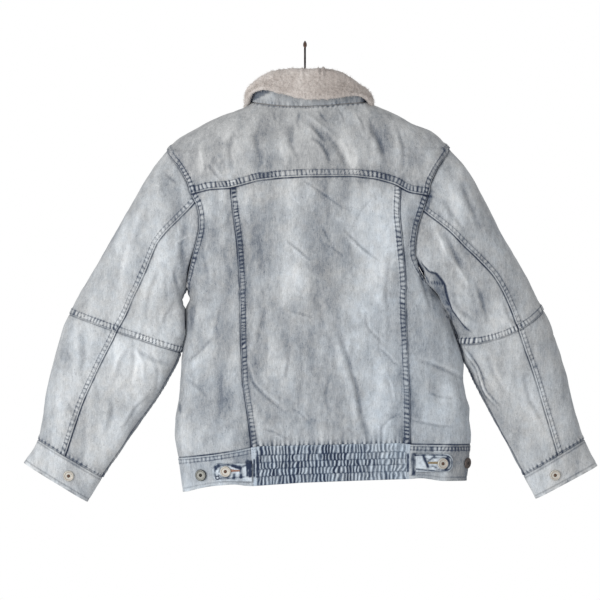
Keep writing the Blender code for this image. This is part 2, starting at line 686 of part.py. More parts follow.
def outward(turn):
    base = neck_base(turn)
    ahead = (neck_base(turn + 3) - neck_base(turn - 3) if abs(turn) < 174
             else np.array([-1.0 if turn > 0 else 1.0, 0.0, 0.0]))
    ahead[2] = 0.0
    out = unit(np.cross(unit(ahead), (0, 0, 1.0)))
    return base, out if np.dot(out, base - np.array([-6.0, 0, base[2]])) > 0 else -out


def needed_lean(turn):
    """The least lean, in degrees, at which the fall stays off the shoulder and chest."""
    fold, fall, gap = (float(read(COLLAR, abs(turn), k)) for k in (1, 2, 3))
    base, out = outward(turn)
    inset = UNDER + 0.4
    radius = (gap + 2 * inset) / 2
    for lean in range(4, 84, 4):
        clear = True
        for r, z in fall_way(2 * radius - inset, -fold - SHERPA - 0.2 - radius, fall, radius, lean):
            over, beside = base + out * r, base + out * (r - inset - 1.5)
            if inside(over[0], over[1], -z + 7.0, 1.0) or inside(beside[0], beside[1], -z, 1.5):
                clear = False
        if clear:
            break
    return float(lean)


LEANS = {}


def lean_at(turn):
    """The needed lean, eased over the neighbouring stretch of the collar."""
    if not LEANS:
        grid = np.arange(-172, 173, 8.0)
        need = np.array([needed_lean(t) for t in grid])
        most = np.array([need[max(0, i - 1):i + 2].max() for i in range(len(need))])
        LEANS["grid"] = grid
        LEANS["lean"] = np.array([most[max(0, i - 1):i + 2].mean() for i in range(len(need))])
    return float(np.interp(turn, LEANS["grid"], LEANS["lean"]))


def collar_line(turn):
    """Line between the two collar layers, from the stand's foot over the fold
    to the edge of the fall, with its outward directions."""
    a = abs(turn)
    fold, fall, gap = (float(read(COLLAR, a, k)) for k in (1, 2, 3))
    base, out = outward(turn)
    up = np.array([0, 0, 1.0])
    inset = UNDER + 0.4
    radius = (gap + 2 * inset) / 2
    top = -fold - SHERPA - 0.2
    foot = base[2] + 0.6
    flat = [(-inset, foot), (-inset, 0.5 * (foot + top - radius)), (-inset, top - radius)]
    centre = (-inset + radius, top - radius)
    for k in (1, 2, 3):
        t = math.pi - math.pi * k / 4
        flat.append((centre[0] + radius * math.cos(t), centre[1] + radius * math.sin(t)))
    r0, z0 = centre[0] + radius, top - radius
    flat.append((r0, z0))
    flat += fall_way(r0, z0, fall, radius, lean_at(turn))
    flat = np.array(flat)
    tangent = unit(np.gradient(flat, axis=0))
    normal = np.stack([-tangent[:, 1], tangent[:, 0]], axis=1)
    place = lambda rz: base[None, :] * np.array([1, 1, 0]) + rz[:, :1] * out + rz[:, 1:] * up
    turn_out = normal[:, :1] * out + normal[:, 1:] * up
    return place(flat), turn_out


def build_collar():
    turns = np.concatenate([np.linspace(-172, -100, 6), np.linspace(-84, 84, 11), np.linspace(100, 172, 6)])
    lines = [collar_line(float(t)) for t in turns]
    p = np.array([line[0] for line in lines]).transpose(1, 0, 2)
    n = np.array([line[1] for line in lines]).transpose(1, 0, 2)
    wall("collar_sherpa", p + (SHERPA + 0.2) * n, p + 0.2 * n, SHERPA_WHITE, roughness=1.0)
    wall("collar_under", p - 0.25 * n, p - (UNDER + 0.25) * n, PALE)


# ---------------------------------------------------------------- hanger
HANGER = ((-172, 166), (-150, 153), (-110, 136), (-60, 120), (-22, 110), (0, 107),
          (22, 110), (60, 120), (110, 136), (150, 153), (166, 162))


def build_hanger():
    path = [(x, 0.0, -d) for x, d in HANGER]
    wide = [6, 10, 11, 10, 9, 9, 9, 10, 11, 10, 6]
    high = [4, 6, 7, 7, 7, 7, 7, 7, 7, 6, 4]
    swept("hanger_body", path, wide, high, 10, WOOD, 0.45)
    centre = -(HOOK_LOOP - HOOK_WIRE)
    path = [(0.0, 0.0, -99.6), (0.0, 0.0, -80.0), (0.0, 0.0, -60.0), (0.0, 0.0, -46.0)]
    for deg in range(-75, 151, 15):
        a = math.radians(deg)
        path.append((0.0, -HOOK_LOOP * math.cos(a), centre + HOOK_LOOP * math.sin(a)))
    path[3] = (0.0, -0.6, -44.0)
    tip = [HOOK_WIRE] * len(path)
    tip[-1], tip[-2], tip[-3] = 1.6, 3.0, 2.6
    swept("hanger_hook", path, tip, tip, 8, DARK_METAL, 0.35, 1.0, across=(1, 0, 0))


clear_scene()
build_band(build_torso())
build_tabs()
build_front_trim()
build_sleeve(1, "L")
build_sleeve(-1, "R")
build_collar()
build_hanger()
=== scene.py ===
"""Looks of the sherpa lined denim jacket: thin cloth shells on the CAD
surfaces, felled seams with puckers, creases, shirring, pile and trim."""
import math

import bpy
import numpy as np
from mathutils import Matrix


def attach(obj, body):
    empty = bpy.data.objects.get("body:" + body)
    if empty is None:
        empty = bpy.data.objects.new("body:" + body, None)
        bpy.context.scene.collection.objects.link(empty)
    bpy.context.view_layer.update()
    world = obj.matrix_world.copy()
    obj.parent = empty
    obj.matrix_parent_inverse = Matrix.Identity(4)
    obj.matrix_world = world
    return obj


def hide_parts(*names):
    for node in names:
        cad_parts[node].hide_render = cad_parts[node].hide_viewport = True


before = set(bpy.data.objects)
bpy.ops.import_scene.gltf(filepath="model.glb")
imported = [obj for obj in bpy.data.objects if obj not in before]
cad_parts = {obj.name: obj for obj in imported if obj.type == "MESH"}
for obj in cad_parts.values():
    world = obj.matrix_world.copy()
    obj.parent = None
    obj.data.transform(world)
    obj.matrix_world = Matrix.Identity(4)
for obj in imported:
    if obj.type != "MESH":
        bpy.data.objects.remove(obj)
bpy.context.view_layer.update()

# ---------------------------------------------------------------- sizes, in mm
MM = 0.001
DENIM, BAND, SHERPA, UNDER = 4.0, 4.6, 7.5, 2.2
SQUARE, ARM_DEPTH, ARM_PIT = 0.05, 46.0, 389.0
TIP_L, TIP_R = 170.0, 166.0
BUTTON_R, BUTTON_H = 8.5, 3.2
HOOK_WIRE, HOOK_LOOP = 1.75, 20.0
STRAP_OUT, TAB_THICK, PLACKET_HALF = 0.35, 2.6, 20.0
PX = 1.57                      # mm at the back for one picture unit
X0, Y0 = 305.0, 42.0           # picture place of the origin

# edge of the body, or of the armhole where there is one: drop, reach in X
LEFT_EDGE = ((92, 81), (94, 83), (99, 91), (110, 118), (127, 157), (138, 177),
             (149, 196), (170, 217), (195, 199), (220, 185), (239, 179),
             (254, 170), (272, 166), (292, 166), (316, 171), (336, 177),
             (355, 182), (374, 185), (389, 185), (403, 181.5), (412, 186), (420, 190), (444, 190),
             (462, 189), (499, 195),
             (562, 199), (590, 204), (620, 204), (647, 200.5), (670, 197.5),
             (706, 192))
RIGHT_EDGE = ((90, -93), (93, -96), (98, -105), (109, -133), (126, -165),
              (138, -196), (150, -212), (166, -229), (196, -210), (221, -198),
              (243, -193), (267, -185), (292, -177), (316, -173), (336, -173),
              (353, -179), (372, -190), (389, -206), (405, -222), (422, -228), (454, -234.5),
              (474, -242), (506, -251), (534, -250), (556, -254), (575, -261),
              (592, -259), (615, -261), (659, -259), (706, -252))
# half depth of the section: drop, back, front
DEPTH = ((90, 35, 38), (101, 38, 42), (138, 46, 46), (170, 51, 49),
         (234, 57, 53), (310, 60, 56), (389, 60, 56), (470, 57, 54),
         (560, 54, 52), (640, 50, 50), (706, 49, 50))
# seams: x, drop
YOKE_SEAM = ((-260, 241), (-193, 241), (-163, 236), (-140, 223), (-111, 215),
             (-75, 211), (-2, 212), (39, 214), (74, 218), (102, 226),
             (118, 230), (151, 232), (177, 239), (260, 239))
NECK_BACK = ((-96, 93), (-91, 95), (-66, 97), (-35, 100), (-2, 102), (28, 101),
             (53, 99), (76, 96), (83, 94))
NECK_FRONT = ((-96, 93), (-91, 108), (-76, 128), (-56, 146), (-34, 158),
              (-2, 164), (22, 160), (44, 148), (63, 131), (77, 110), (83, 94))
WAIST_SEAM = ((-270, 633), (-168, 631.5), (-149, 629), (74, 634), (110, 642),
              (149, 648), (180, 651.5), (199, 653.5), (270, 654))
HEM = ((-270, 689.5), (-212, 689), (-196, 686), (-181, 684), (-168, 685.5), (-86, 688), (8, 691.5),
       (70, 696), (88, 697), (111, 694), (146, 697), (165, 700.5), (191.5, 707.5), (270, 709))
# seams: drop, x
BACK_SEAM_L = ((215, 118), (231, 117), (275, 112), (311, 107), (342, 105),
               (405, 102), (499, 100), (539, 98), (570, 93.5), (601, 89),
               (630, 84.5), (710, 84.5))
BACK_SEAM_R = ((205, -151), (229, -151), (264, -149), (309, -153), (363, -156),
               (405, -157), (499, -162), (539, -164), (570, -165), (710, -165))
FRONT_LINE = ((150, -2), (300, -5), (480, -11), (710, -18))
# sleeve rings on their way down: outer x, outer drop, inner x, inner drop,
# half depth, forward shift, bow of the middle down the arm
SLEEVE_L = ((243, 205, 192, 405, 44, 0, 0), (272, 250, 190.5, 429, 42, -1, 0),
            (297, 292, 189.5, 452, 41, -2, 0), (323, 337, 189, 473, 39, -4, 0),
            (372, 427, 195, 488, 37, -8, 2), (388, 468, 207, 518, 36, -12, 0),
            (400, 512, 240, 570, 34, -16, 0), (410, 556, 275, 621, 32, -20, 0),
            (421, 625, 320, 685, 29, -25, 0), (443, 663, 344, 724, 28, -28, 0))
SLEEVE_R = ((-251, 192, -216, 400, 44, 0, 0), (-272, 231, -225.5, 422, 42, -1, 4),
            (-290, 264, -231.5, 444, 41, -2, 8), (-311, 301, -236, 458, 39, -4, 12),
            (-377, 421, -242.5, 473, 37, -8, 16), (-394, 465, -257, 516, 36, -12, 8),
            (-410, 509, -279, 560, 34, -16, 0), (-422, 556, -304, 606, 32, -20, 0),
            (-441, 625, -345, 682, 29, -25, 0), (-462, 667, -365, 719, 28, -28, 0))
# turn of each lengthwise line of a sleeve from its outer edge, in degrees:
# the yoke seam meets line 4, the sleeve's back seam is line 5, the underarm
# seam is line 10
TURNS_L = (0, 16, 33, 49, 65.5, 77, 95, 112, 129, 147, 165, 180)
TURNS_R = (0, 16, 33, 50, 68.0, 82, 98, 114, 130, 147, 165, 180)
# collar: turn from the back centre, drop of the fold, length of the fall, gap
COLLAR_L = ((0, 41.3, 38, 4), (27, 41.6, 28, 3), (43, 45.8, 17, 2), (58, 53.5, 9, 1.2), (70, 61.5, 8, 0.8),
            (80, 66.5, 12, 0.8), (90, 72, 17, 0.8), (115, 88, 26, 3), (132, 97, 36, 5),
            (150, 106, 52, 7), (172, 116, 66, 7))
COLLAR_R = ((0, 41.3, 38, 4), (20, 41.3, 36, 3), (37, 47.5, 26, 2), (52, 59, 13, 1.2), (66, 67.5, 7, 0.8),
            (78, 72.5, 9, 0.8), (90, 79, 14, 0.8), (115, 90, 24, 3), (132, 97, 36, 5),
            (150, 106, 52, 7), (172, 116, 66, 7))
# adjuster tabs on the waistband: x of the sewn end, x of the round end,
# drop of the top edge, drop of the bottom edge, x and drop of the button
TABS = {"L": (83, 145, 661, 689.5, 124, 673.7), "R": (-171.5, -231.5, 646.5, 674.5, -215, 661.5)}
ADJUSTERS = {"L": (163, 680), "R": (-254.5, 661.5)}
HANGER = ((-172, 166), (-150, 153), (-110, 136), (-60, 120), (-22, 110), (0, 107),
          (22, 110), (60, 120), (110, 136), (150, 153), (166, 162))


# ---------------------------------------------------------------- small helpers
def unit(v):
    v = np.asarray(v, float)
    return v / np.maximum(np.linalg.norm(v, axis=-1, keepdims=True), 1e-9)


def column(table, number):
    return np.array([row[number] for row in table], float)


def read(table, x, number=1, soft=0.0):
    a, b = column(table, 0), column(table, number)
    x = np.asarray(x, float)
    if not soft:
        return np.interp(x, a, b)
    return sum(np.interp(x + k * soft, a, b) for k in (-1, -0.5, 0, 0.5, 1)) / 5


def step(a, b, x):
    t = np.clip((x - a) / (b - a), 0, 1)
    return t * t * (3 - 2 * t)


def bell(x, width):
    return np.exp(-(x / width) ** 2)


def hashed(i, j, k, seed):
    h = (i * 374761393 + j * 668265263 + k * 2147483647 + seed * 1274126177) & 0xFFFFFFFF
    h = ((h ^ (h >> 13)) * 1274126177) & 0xFFFFFFFF
    h = ((h ^ (h >> 16)) * 2246822519) & 0xFFFFFFFF
    return ((h ^ (h >> 15)) & 0xFFFF) / 32767.5 - 1.0


def noise(p, size, seed=0):
    """Smooth noise from -1 to 1 over points in mm; size is a length or three."""
    q = np.asarray(p, float) / np.asarray(size, float)
    base = np.floor(q).astype(np.int64)
    f = q - base
    f = f * f * f * (f * (f * 6 - 15) + 10)
    total = 0.0
    for a in (0, 1):
        for b in (0, 1):
            for c in (0, 1):
                w = (f[..., 0] if a else 1 - f[..., 0]) * (f[..., 1] if b else 1 - f[..., 1]) \
                    * (f[..., 2] if c else 1 - f[..., 2])
                total = total + w * hashed(base[..., 0] + a, base[..., 1] + b, base[..., 2] + c, seed)
    return total


def cloudy(p, size, seed=0, octaves=3):
    size = np.asarray(size, float)
    total, most = 0.0, 0.0
    for k in range(octaves):
        total = total + noise(p, size / 2 ** k, seed + 17 * k) / 1.8 ** k
        most += 1 / 1.8 ** k
    return total / most * 1.6


def line_noise(s, size, seed=0):
    s = np.asarray(s, float)
    p = np.stack([s, np.zeros_like(s) + 0.37, np.zeros_like(s) + 0.61], axis=-1)
    return noise(p, (size, 1.0, 1.0), seed)


# ---------------------------------------------------------------- body surface
def softened(table, drop):
    return sum(read(table, drop + k) for k in (-30, -20, -10, 0, 10, 20, 30)) / 7


def side_x(phi):
    return (np.sin(phi) + SQUARE * np.sin(3 * phi)) / (1 - SQUARE)


def side_y(phi):
    return (np.cos(phi) - SQUARE * np.cos(3 * phi)) / (1 - SQUARE)


def torso(q, drop, face):
    """Points of the body: q is -1 at the right edge and 1 at the left, face 1 is the back."""
    q, drop, face = np.broadcast_arrays(np.asarray(q, float), np.asarray(drop, float), np.asarray(face, float))
    left = q >= 0
    tip = np.where(left, TIP_L, TIP_R)
    t = np.clip((drop - tip) / (ARM_PIT - tip), 0, 1)
    open_y = ARM_DEPTH * np.sqrt(np.maximum(0.0, 1 - (2 * t - 1) ** 2))
    most = np.radians(90 - 30 * np.maximum(np.sin(np.pi * t), 0) ** 0.8)
    middle = 0.5 * (softened(LEFT_EDGE, drop) + softened(RIGHT_EDGE, drop))
    phi = np.abs(q) * most
    part = side_x(phi) / side_x(most)
    w = np.minimum(1.0, part) ** 4
    edge = np.where(left, read(LEFT_EDGE, drop, 1, 3), read(RIGHT_EDGE, drop, 1, 3))
    soft = np.where(left, softened(LEFT_EDGE, drop), softened(RIGHT_EDGE, drop))
    reach = (1 - w) * (soft - middle) + w * (edge - middle)
    depth = np.where(face > 0, read(DEPTH, drop, 1, 14), read(DEPTH, drop, 2, 14))
    base = side_y(most)
    y = open_y + (depth - open_y) * (side_y(phi) - base) / (1 - base)
    return np.stack([middle + part * reach, face * y, -drop], axis=-1)


TRIES = np.linspace(-1, 1, 241)


def q_at(x, drop, face=1):
    """q of the body's point at x and drop, for arrays."""
    x, drop = np.broadcast_arrays(np.asarray(x, float), np.asarray(drop, float))
    shape = x.shape
    x, drop = x.reshape(-1), drop.reshape(-1)
    out = np.empty(len(x))
    for i in range(len(x)):
        out[i] = np.interp(x[i], torso(TRIES, drop[i], face)[:, 0], TRIES)
    return out.reshape(shape)


def drop_on(q, face, line, guess, soft=6.0):
    drop = np.zeros_like(np.asarray(q, float)) + guess
    for _ in range(14):
        drop = read(line, torso(q, drop, face)[..., 0], 1, soft)
    return drop


def on_body(x, drop, face=1):
    return torso(q_at(x, drop, face), drop, face)


def body_normal(x, drop, face=1):
    a = on_body(np.asarray(x) + 1.5, drop, face) - on_body(np.asarray(x) - 1.5, drop, face)
    b = on_body(x, np.asarray(drop) + 1.5, face) - on_body(x, np.asarray(drop) - 1.5, face)
    n = unit(np.cross(a, b))
    sign = np.where(n[..., 1] * face >= 0, 1.0, -1.0)
    return n * sign[..., None]


# ---------------------------------------------------------------- sleeves
def arm_drop(side, turn):
    tip = TIP_L if side > 0 else TIP_R
    return tip + (ARM_PIT - tip) * (1 - np.cos(np.radians(turn))) / 2


def arm_point(side, turn):
    turn = np.asarray(turn, float)
    return torso(float(side) + 0 * turn, arm_drop(side, np.abs(turn)), np.where(turn >= 0, 1.0, -1.0))


def ring_point(side, number, turn):
    turn = (np.asarray(turn, float) + 180.0) % 360.0 - 180.0
    if number == 0:
        return arm_point(side, turn)
    ox, od, ix, idrop, half, shift, bow = (SLEEVE_L if side > 0 else SLEEVE_R)[number - 1]
    outer, inner = np.array([ox, 0.0, -od]), np.array([ix, 0.0, -idrop])
    a = np.radians(turn)
    e = 0.04
    along = (np.cos(a) - e * np.cos(3 * a)) / (1 - e)
    deep = (np.sin(a) + e * np.sin(3 * a)) / (1 - e)
    down = unit(np.array([-(outer - inner)[2], 0.0, (outer - inner)[0]]))
    down = down if down[2] < 0 else -down
    y = half * deep + shift
    return ((outer + inner) / 2 + (outer - inner) / 2 * along[..., None]
            + y[..., None] * np.array([0.0, 1.0, 0.0]) + (bow * np.sin(a) ** 2)[..., None] * down)


def sleeve(side, s, turn):
    """Points of a sleeve for s and turn arrays of one shape."""
    s, turn = np.broadcast_arrays(np.asarray(s, float), np.asarray(turn, float))
    count = len(SLEEVE_L)
    out = np.zeros(s.shape + (3,))
    cell = np.minimum(np.floor(s), count - 1).astype(int)
    for i in range(count):
        mask = cell == i
        if not mask.any():
            continue
        f, t = (s[mask] - i)[:, None], turn[mask]
        p = [ring_point(side, min(max(k, 0), count), t) for k in (i - 1, i, i + 1, i + 2)]
        if i == 0:
            p[0] = 2 * p[1] - p[2]
        if i + 2 > count:
            p[3] = 2 * p[2] - p[1]
        out[mask] = (p[1] + 0.5 * f * (p[2] - p[0] + f * (2 * p[0] - 5 * p[1] + 4 * p[2] - p[3]
                     + f * (3 * (p[1] - p[2]) + p[3] - p[0]))))
    return out


# ---------------------------------------------------------------- grids
def normals_of(p, outward):
    """Unit normals of a grid, turned to the side that outward points to."""
    a = np.gradient(p, axis=0)
    b = np.gradient(p, axis=1)
    n = unit(np.cross(a, b))
    if np.mean(np.sum(n * outward, axis=-1)) < 0:
        n = -n
    return n


def spaced(length, fine_start, fine_end, reach=15.0, fine=0.85, coarse=2.1):
    """Shares from 0 to 1 along a length in mm, closer together near the chosen ends."""
    at, out = 0.0, [0.0]
    while at < length:
        near = 1e9
        if fine_start:
            near = min(near, at)
        if fine_end:
            near = min(near, length - at)
        g = min(1.0, max(0.0, (near - reach) / 12.0))
        at += fine + (coarse - fine) * g
        out.append(at)
    out = np.array(out)
    return out / out[-1]


# ---------------------------------------------------------------- materials
def srgb(r, g, b):
    out = []
    for c in (r, g, b):
        c = c / 255
        out.append(c / 12.92 if c <= 0.04045 else ((c + 0.055) / 1.055) ** 2.4)
    return out + [1.0]


class Nodes:
    """Short hand for one material's node tree."""

    def __init__(self, name, **values):
        self.mat = bpy.data.materials.new(name)
        self.mat.use_nodes = True
        self.tree = self.mat.node_tree
        self.shader = self.tree.nodes["Principled BSDF"]
        for key, value in values.items():
            self.shader.inputs[key.replace("_", " ")].default_value = value

    def node(self, kind, props=(), **inputs):
        n = self.tree.nodes.new(kind)
        for key, value in props:
            setattr(n, key, value)
        for key, value in inputs.items():
            socket = n.inputs[int(key[1:])] if key[0] == "i" and key[1:].isdigit() else n.inputs[key.replace("_", " ")]
            if isinstance(value, bpy.types.NodeSocket):
                self.tree.links.new(value, socket)
            else:
                socket.default_value = value
        return n

    def math(self, op, a, b, c=None):
        n = self.tree.nodes.new("ShaderNodeMath")
        n.operation = op
        for i, value in enumerate((a, b, c)):
            if value is None:
                continue
            if isinstance(value, bpy.types.NodeSocket):
                self.tree.links.new(value, n.inputs[i])
            else:
                n.inputs[i].default_value = value
        return n.outputs[0]

    def ramp(self, value, stops, mode="LINEAR"):
        n = self.tree.nodes.new("ShaderNodeValToRGB")
        n.color_ramp.interpolation = mode
        while len(n.color_ramp.elements) < len(stops):
            n.color_ramp.elements.new(0.5)
        for e, (at, colour) in zip(n.color_ramp.elements, stops):
            e.position = at
            e.color = colour
        self.tree.links.new(value, n.inputs[0])
        return n.outputs[0]

    def noise(self, vector, scale, detail=3.0, rough=0.55, distortion=0.0):
        n = self.node("ShaderNodeTexNoise", Vector=vector, Scale=scale, Detail=detail, Roughness=rough, Distortion=distortion)
        return n.outputs[0]

    def mapped(self, vector, scale, turn=(0, 0, 0)):
        n = self.tree.nodes.new("ShaderNodeMapping")
        n.inputs["Scale"].default_value = scale
        n.inputs["Rotation"].default_value = turn
        self.tree.links.new(vector, n.inputs["Vector"])
        return n.outputs[0]

    def attribute(self, name):
        n = self.tree.nodes.new("ShaderNodeAttribute")
        n.attribute_name = name
        return n.outputs["Fac"]

    def mix(self, factor, a, b, blend="MIX"):
        n = self.tree.nodes.new("ShaderNodeMix")
        n.data_type = "RGBA"
        n.blend_type = blend
        for socket, value in ((n.inputs[0], factor), (n.inputs[6], a), (n.inputs[7], b)):
            if isinstance(value, bpy.types.NodeSocket):
                self.tree.links.new(value, socket)
            else:
                socket.default_value = value
        return n.outputs[2]

    def bump(self, height, strength, distance, normal=None):
        n = self.tree.nodes.new("ShaderNodeBump")
        n.inputs["Strength"].default_value = strength
        n.inputs["Distance"].default_value = distance
        self.tree.links.new(height, n.inputs["Height"])
        if normal is not None:
            self.tree.links.new(normal, n.inputs["Normal"])
        return n.outputs[0]

    def to(self, output, name):
        self.tree.links.new(output, self.shader.inputs[name])


def denim_material():
    m = Nodes("bleached_denim", Roughness=0.88, Specular_IOR_Level=0.25, Sheen_Weight=0.12, Sheen_Roughness=0.5)
    place = m.tree.nodes.new("ShaderNodeTexCoord")
    obj, uv = place.outputs["Object"], place.outputs["UV"]
    tone = m.attribute("tone")
    # fine slub down the cloth, a mottle a few mm across, and speckle
    slub = m.noise(m.mapped(obj, (760, 760, 120)), 1.0, 2.0)
    mottle = m.noise(m.mapped(obj, (240, 240, 110)), 1.0, 3.0, 0.62)
    speck = m.noise(obj, 620.0, 1.0)
    dots = m.noise(m.mapped(obj, (430, 430, 300)), 1.0, 2.0, 0.7)
    t = m.math("MULTIPLY_ADD", m.math("SUBTRACT", slub, 0.5), 0.26, tone)
    t = m.math("MULTIPLY_ADD", m.math("SUBTRACT", mottle, 0.5), 0.19, t)
    t = m.math("MULTIPLY_ADD", m.math("SUBTRACT", speck, 0.5), 0.20, t)
    t = m.math("MULTIPLY_ADD", m.math("MAXIMUM", m.math("SUBTRACT", dots, 0.60), 0.0), 1.1, t)
    # the twill's own diagonal
    twill = m.node("ShaderNodeTexWave", (("wave_type", "BANDS"), ("bands_direction", "DIAGONAL")),
                   Vector=m.mapped(uv, (1, 1, 0)), Scale=34.0, Distortion=1.2, Detail=1.0).outputs["Fac"]
    t = m.math("MULTIPLY_ADD", m.math("SUBTRACT", twill, 0.5), 0.07, t)
    colour = m.ramp(t, ((0.0, srgb(241, 243, 245)), (0.18, srgb(216, 219, 222)), (0.34, srgb(189, 192, 195)),
                        (0.50, srgb(158, 161, 165)), (0.66, srgb(116, 122, 131)), (0.82, srgb(71, 80, 96)), (1.0, srgb(35, 45, 68))))
    # the warm attribute tints the cloth from blue to warm; the warmth on the yoke is a painted warm shade
    cast = m.math("MULTIPLY_ADD", m.math("SUBTRACT", m.noise(obj, 75.0, 2.0, 0.6), 0.5), 1.3, m.attribute("warm"))
    cast = m.math("MULTIPLY_ADD", cast, 0.5, 0.5)                 # warm runs from -1, blue, to 1
    tint = m.mix(cast, (0.90, 1.003, 1.11, 1), (1.02, 0.997, 0.967, 1))
    m.to(m.mix(1.0, colour, tint, "MULTIPLY"), "Base Color")
    h = m.math("MULTIPLY_ADD", twill, 0.35, m.math("MULTIPLY_ADD", slub, 0.5, m.math("MULTIPLY", mottle, 0.6)))
    m.to(m.bump(h, 0.55, 0.0006), "Normal")
    m.to(m.math("MULTIPLY_ADD", mottle, 0.16, 0.78), "Roughness")
    return m.mat


def pile_material(name, low, high, shade):
    m = Nodes(name, Roughness=0.95, Specular_IOR_Level=0.15, Sheen_Weight=0.3, Sheen_Roughness=0.6)
    place = m.tree.nodes.new("ShaderNodeTexCoord")
    obj = place.outputs["Object"]
    curl = m.noise(obj, 420.0, 3.0, 0.6, 0.8)
    fleck = m.noise(obj, 1400.0, 2.0)
    wide = m.noise(obj, 60.0, 2.0)
    t = m.math("MULTIPLY_ADD", m.math("SUBTRACT", curl, 0.5), 0.9, 0.5)
    t = m.math("MULTIPLY_ADD", m.math("SUBTRACT", fleck, 0.5), 0.35, t)
    t = m.math("MULTIPLY_ADD", m.math("SUBTRACT", wide, 0.5), 0.5, t)
    dim = m.mix(m.attribute("shade"), (1, 1, 1, 1), (0.52, 0.485, 0.47, 1))
    m.to(m.mix(1.0, m.ramp(t, ((0.15, shade), (0.45, low), (0.85, high))), dim, "MULTIPLY"), "Base Color")
    m.to(m.bump(m.math("MULTIPLY_ADD", fleck, 0.4, curl), 0.7, 0.0012), "Normal")
    return m.mat


def plain_material(name, colour, roughness, metallic=0.0, scale=300.0, spread=0.25, bump=0.0002, second=None):
    m = Nodes(name, Metallic=metallic)
    place = m.tree.nodes.new("ShaderNodeTexCoord")
    n = m.noise(place.outputs["Object"], scale, 4.0, 0.6)
    dark = tuple(c * (1 - spread) for c in colour[:3]) + (1,)
    light = tuple(min(1.0, c * (1 + spread)) for c in (second or colour)[:3]) + (1,)
    m.to(m.ramp(n, ((0.3, dark), (0.7, light))), "Base Color")
    m.to(m.math("MULTIPLY_ADD", n, 0.25, roughness - 0.12), "Roughness")
    m.to(m.bump(n, 0.4, bump), "Normal")
    return m.mat


def wood_material():
    m = Nodes("hanger_beech", Specular_IOR_Level=0.4)
    place = m.tree.nodes.new("ShaderNodeTexCoord")
    grain = m.noise(m.mapped(place.outputs["Object"], (14, 160, 160)), 1.0, 4.0, 0.6, 0.6)
    fine = m.noise(m.mapped(place.outputs["Object"], (90, 900, 900)), 1.0, 2.0)
    t = m.math("MULTIPLY_ADD", m.math("SUBTRACT", fine, 0.5), 0.3, grain)
    m.to(m.ramp(t, ((0.3, srgb(88, 56, 34)), (0.55, srgb(128, 86, 54)), (0.75, srgb(150, 106, 70)))), "Base Color")
    m.to(m.math("MULTIPLY_ADD", grain, 0.2, 0.34), "Roughness")
    m.to(m.bump(t, 0.3, 0.0003), "Normal")
    return m.mat


DENIM_MAT = denim_material()
LINING_MAT = pile_material("lining_pile", srgb(196, 186, 178), srgb(232, 226, 220), srgb(150, 140, 132))
SHERPA_MAT = pile_material("collar_pile", srgb(205, 196, 190), srgb(236, 230, 225), srgb(158, 148, 142))
FIBRE_MAT = pile_material("pile_fibre", srgb(222, 214, 208), srgb(240, 235, 230), srgb(190, 180, 172))
THREAD_MAT = plain_material("stitch_thread", srgb(104, 112, 128), 0.7, 0.0, 900.0, 0.3)
TAN_MAT = plain_material("tan_thread", srgb(158, 142, 112), 0.75, 0.0, 700.0, 0.3)
BUTTON_MAT = plain_material("button_silver", srgb(196, 193, 184), 0.50, 0.55, 500.0, 0.16)
AGED_MAT = plain_material("button_aged", srgb(148, 148, 142), 0.52, 0.6, 500.0, 0.22)
# painted shadow ring on the aged buttons' rolled rim and face groove
RIM_SHADOW_MAT = plain_material("button_rim_shadow", srgb(64, 66, 68), 0.5, 0.5, 500.0, 0.25)
RING_MAT = plain_material("button_shadow", srgb(92, 98, 108), 0.55, 0.6, 500.0, 0.3)
DARK_BUTTON_MAT = plain_material("button_dark", srgb(92, 82, 78), 0.46, 0.55, 500.0, 0.3)
DARK_CORE_MAT = plain_material("button_dark_core", srgb(38, 33, 32), 0.6, 0.3, 500.0, 0.3)
CORE_MAT = plain_material("button_core", srgb(96, 72, 58), 0.6, 0.3, 600.0, 0.35)
COPPER_MAT = plain_material("buttonhole_thread", srgb(168, 130, 114), 0.75, 0.0, 700.0, 0.25)
NAVY_MAT = plain_material("navy_thread", srgb(44, 56, 84), 0.85, 0.0, 700.0, 0.35)
WIRE_MAT = plain_material("hook_wire", srgb(56, 50, 48), 0.34, 0.85, 300.0, 0.3)
TIP_MAT = plain_material("hook_tip", srgb(84, 60, 46), 0.5, 0.1, 300.0, 0.3)
WOOD_MAT = wood_material()


# ---------------------------------------------------------------- seams
def resampled(pts, gap=2.0):
    pts = np.asarray(pts, float)
    seg = np.linalg.norm(np.diff(pts, axis=0), axis=1)
    arc = np.concatenate([[0], np.cumsum(seg)])
    n = max(3, int(arc[-1] / gap) + 1)
    s = np.linspace(0, arc[-1], n)
    return np.stack([np.interp(s, arc, pts[:, k]) for k in range(3)], axis=1), s


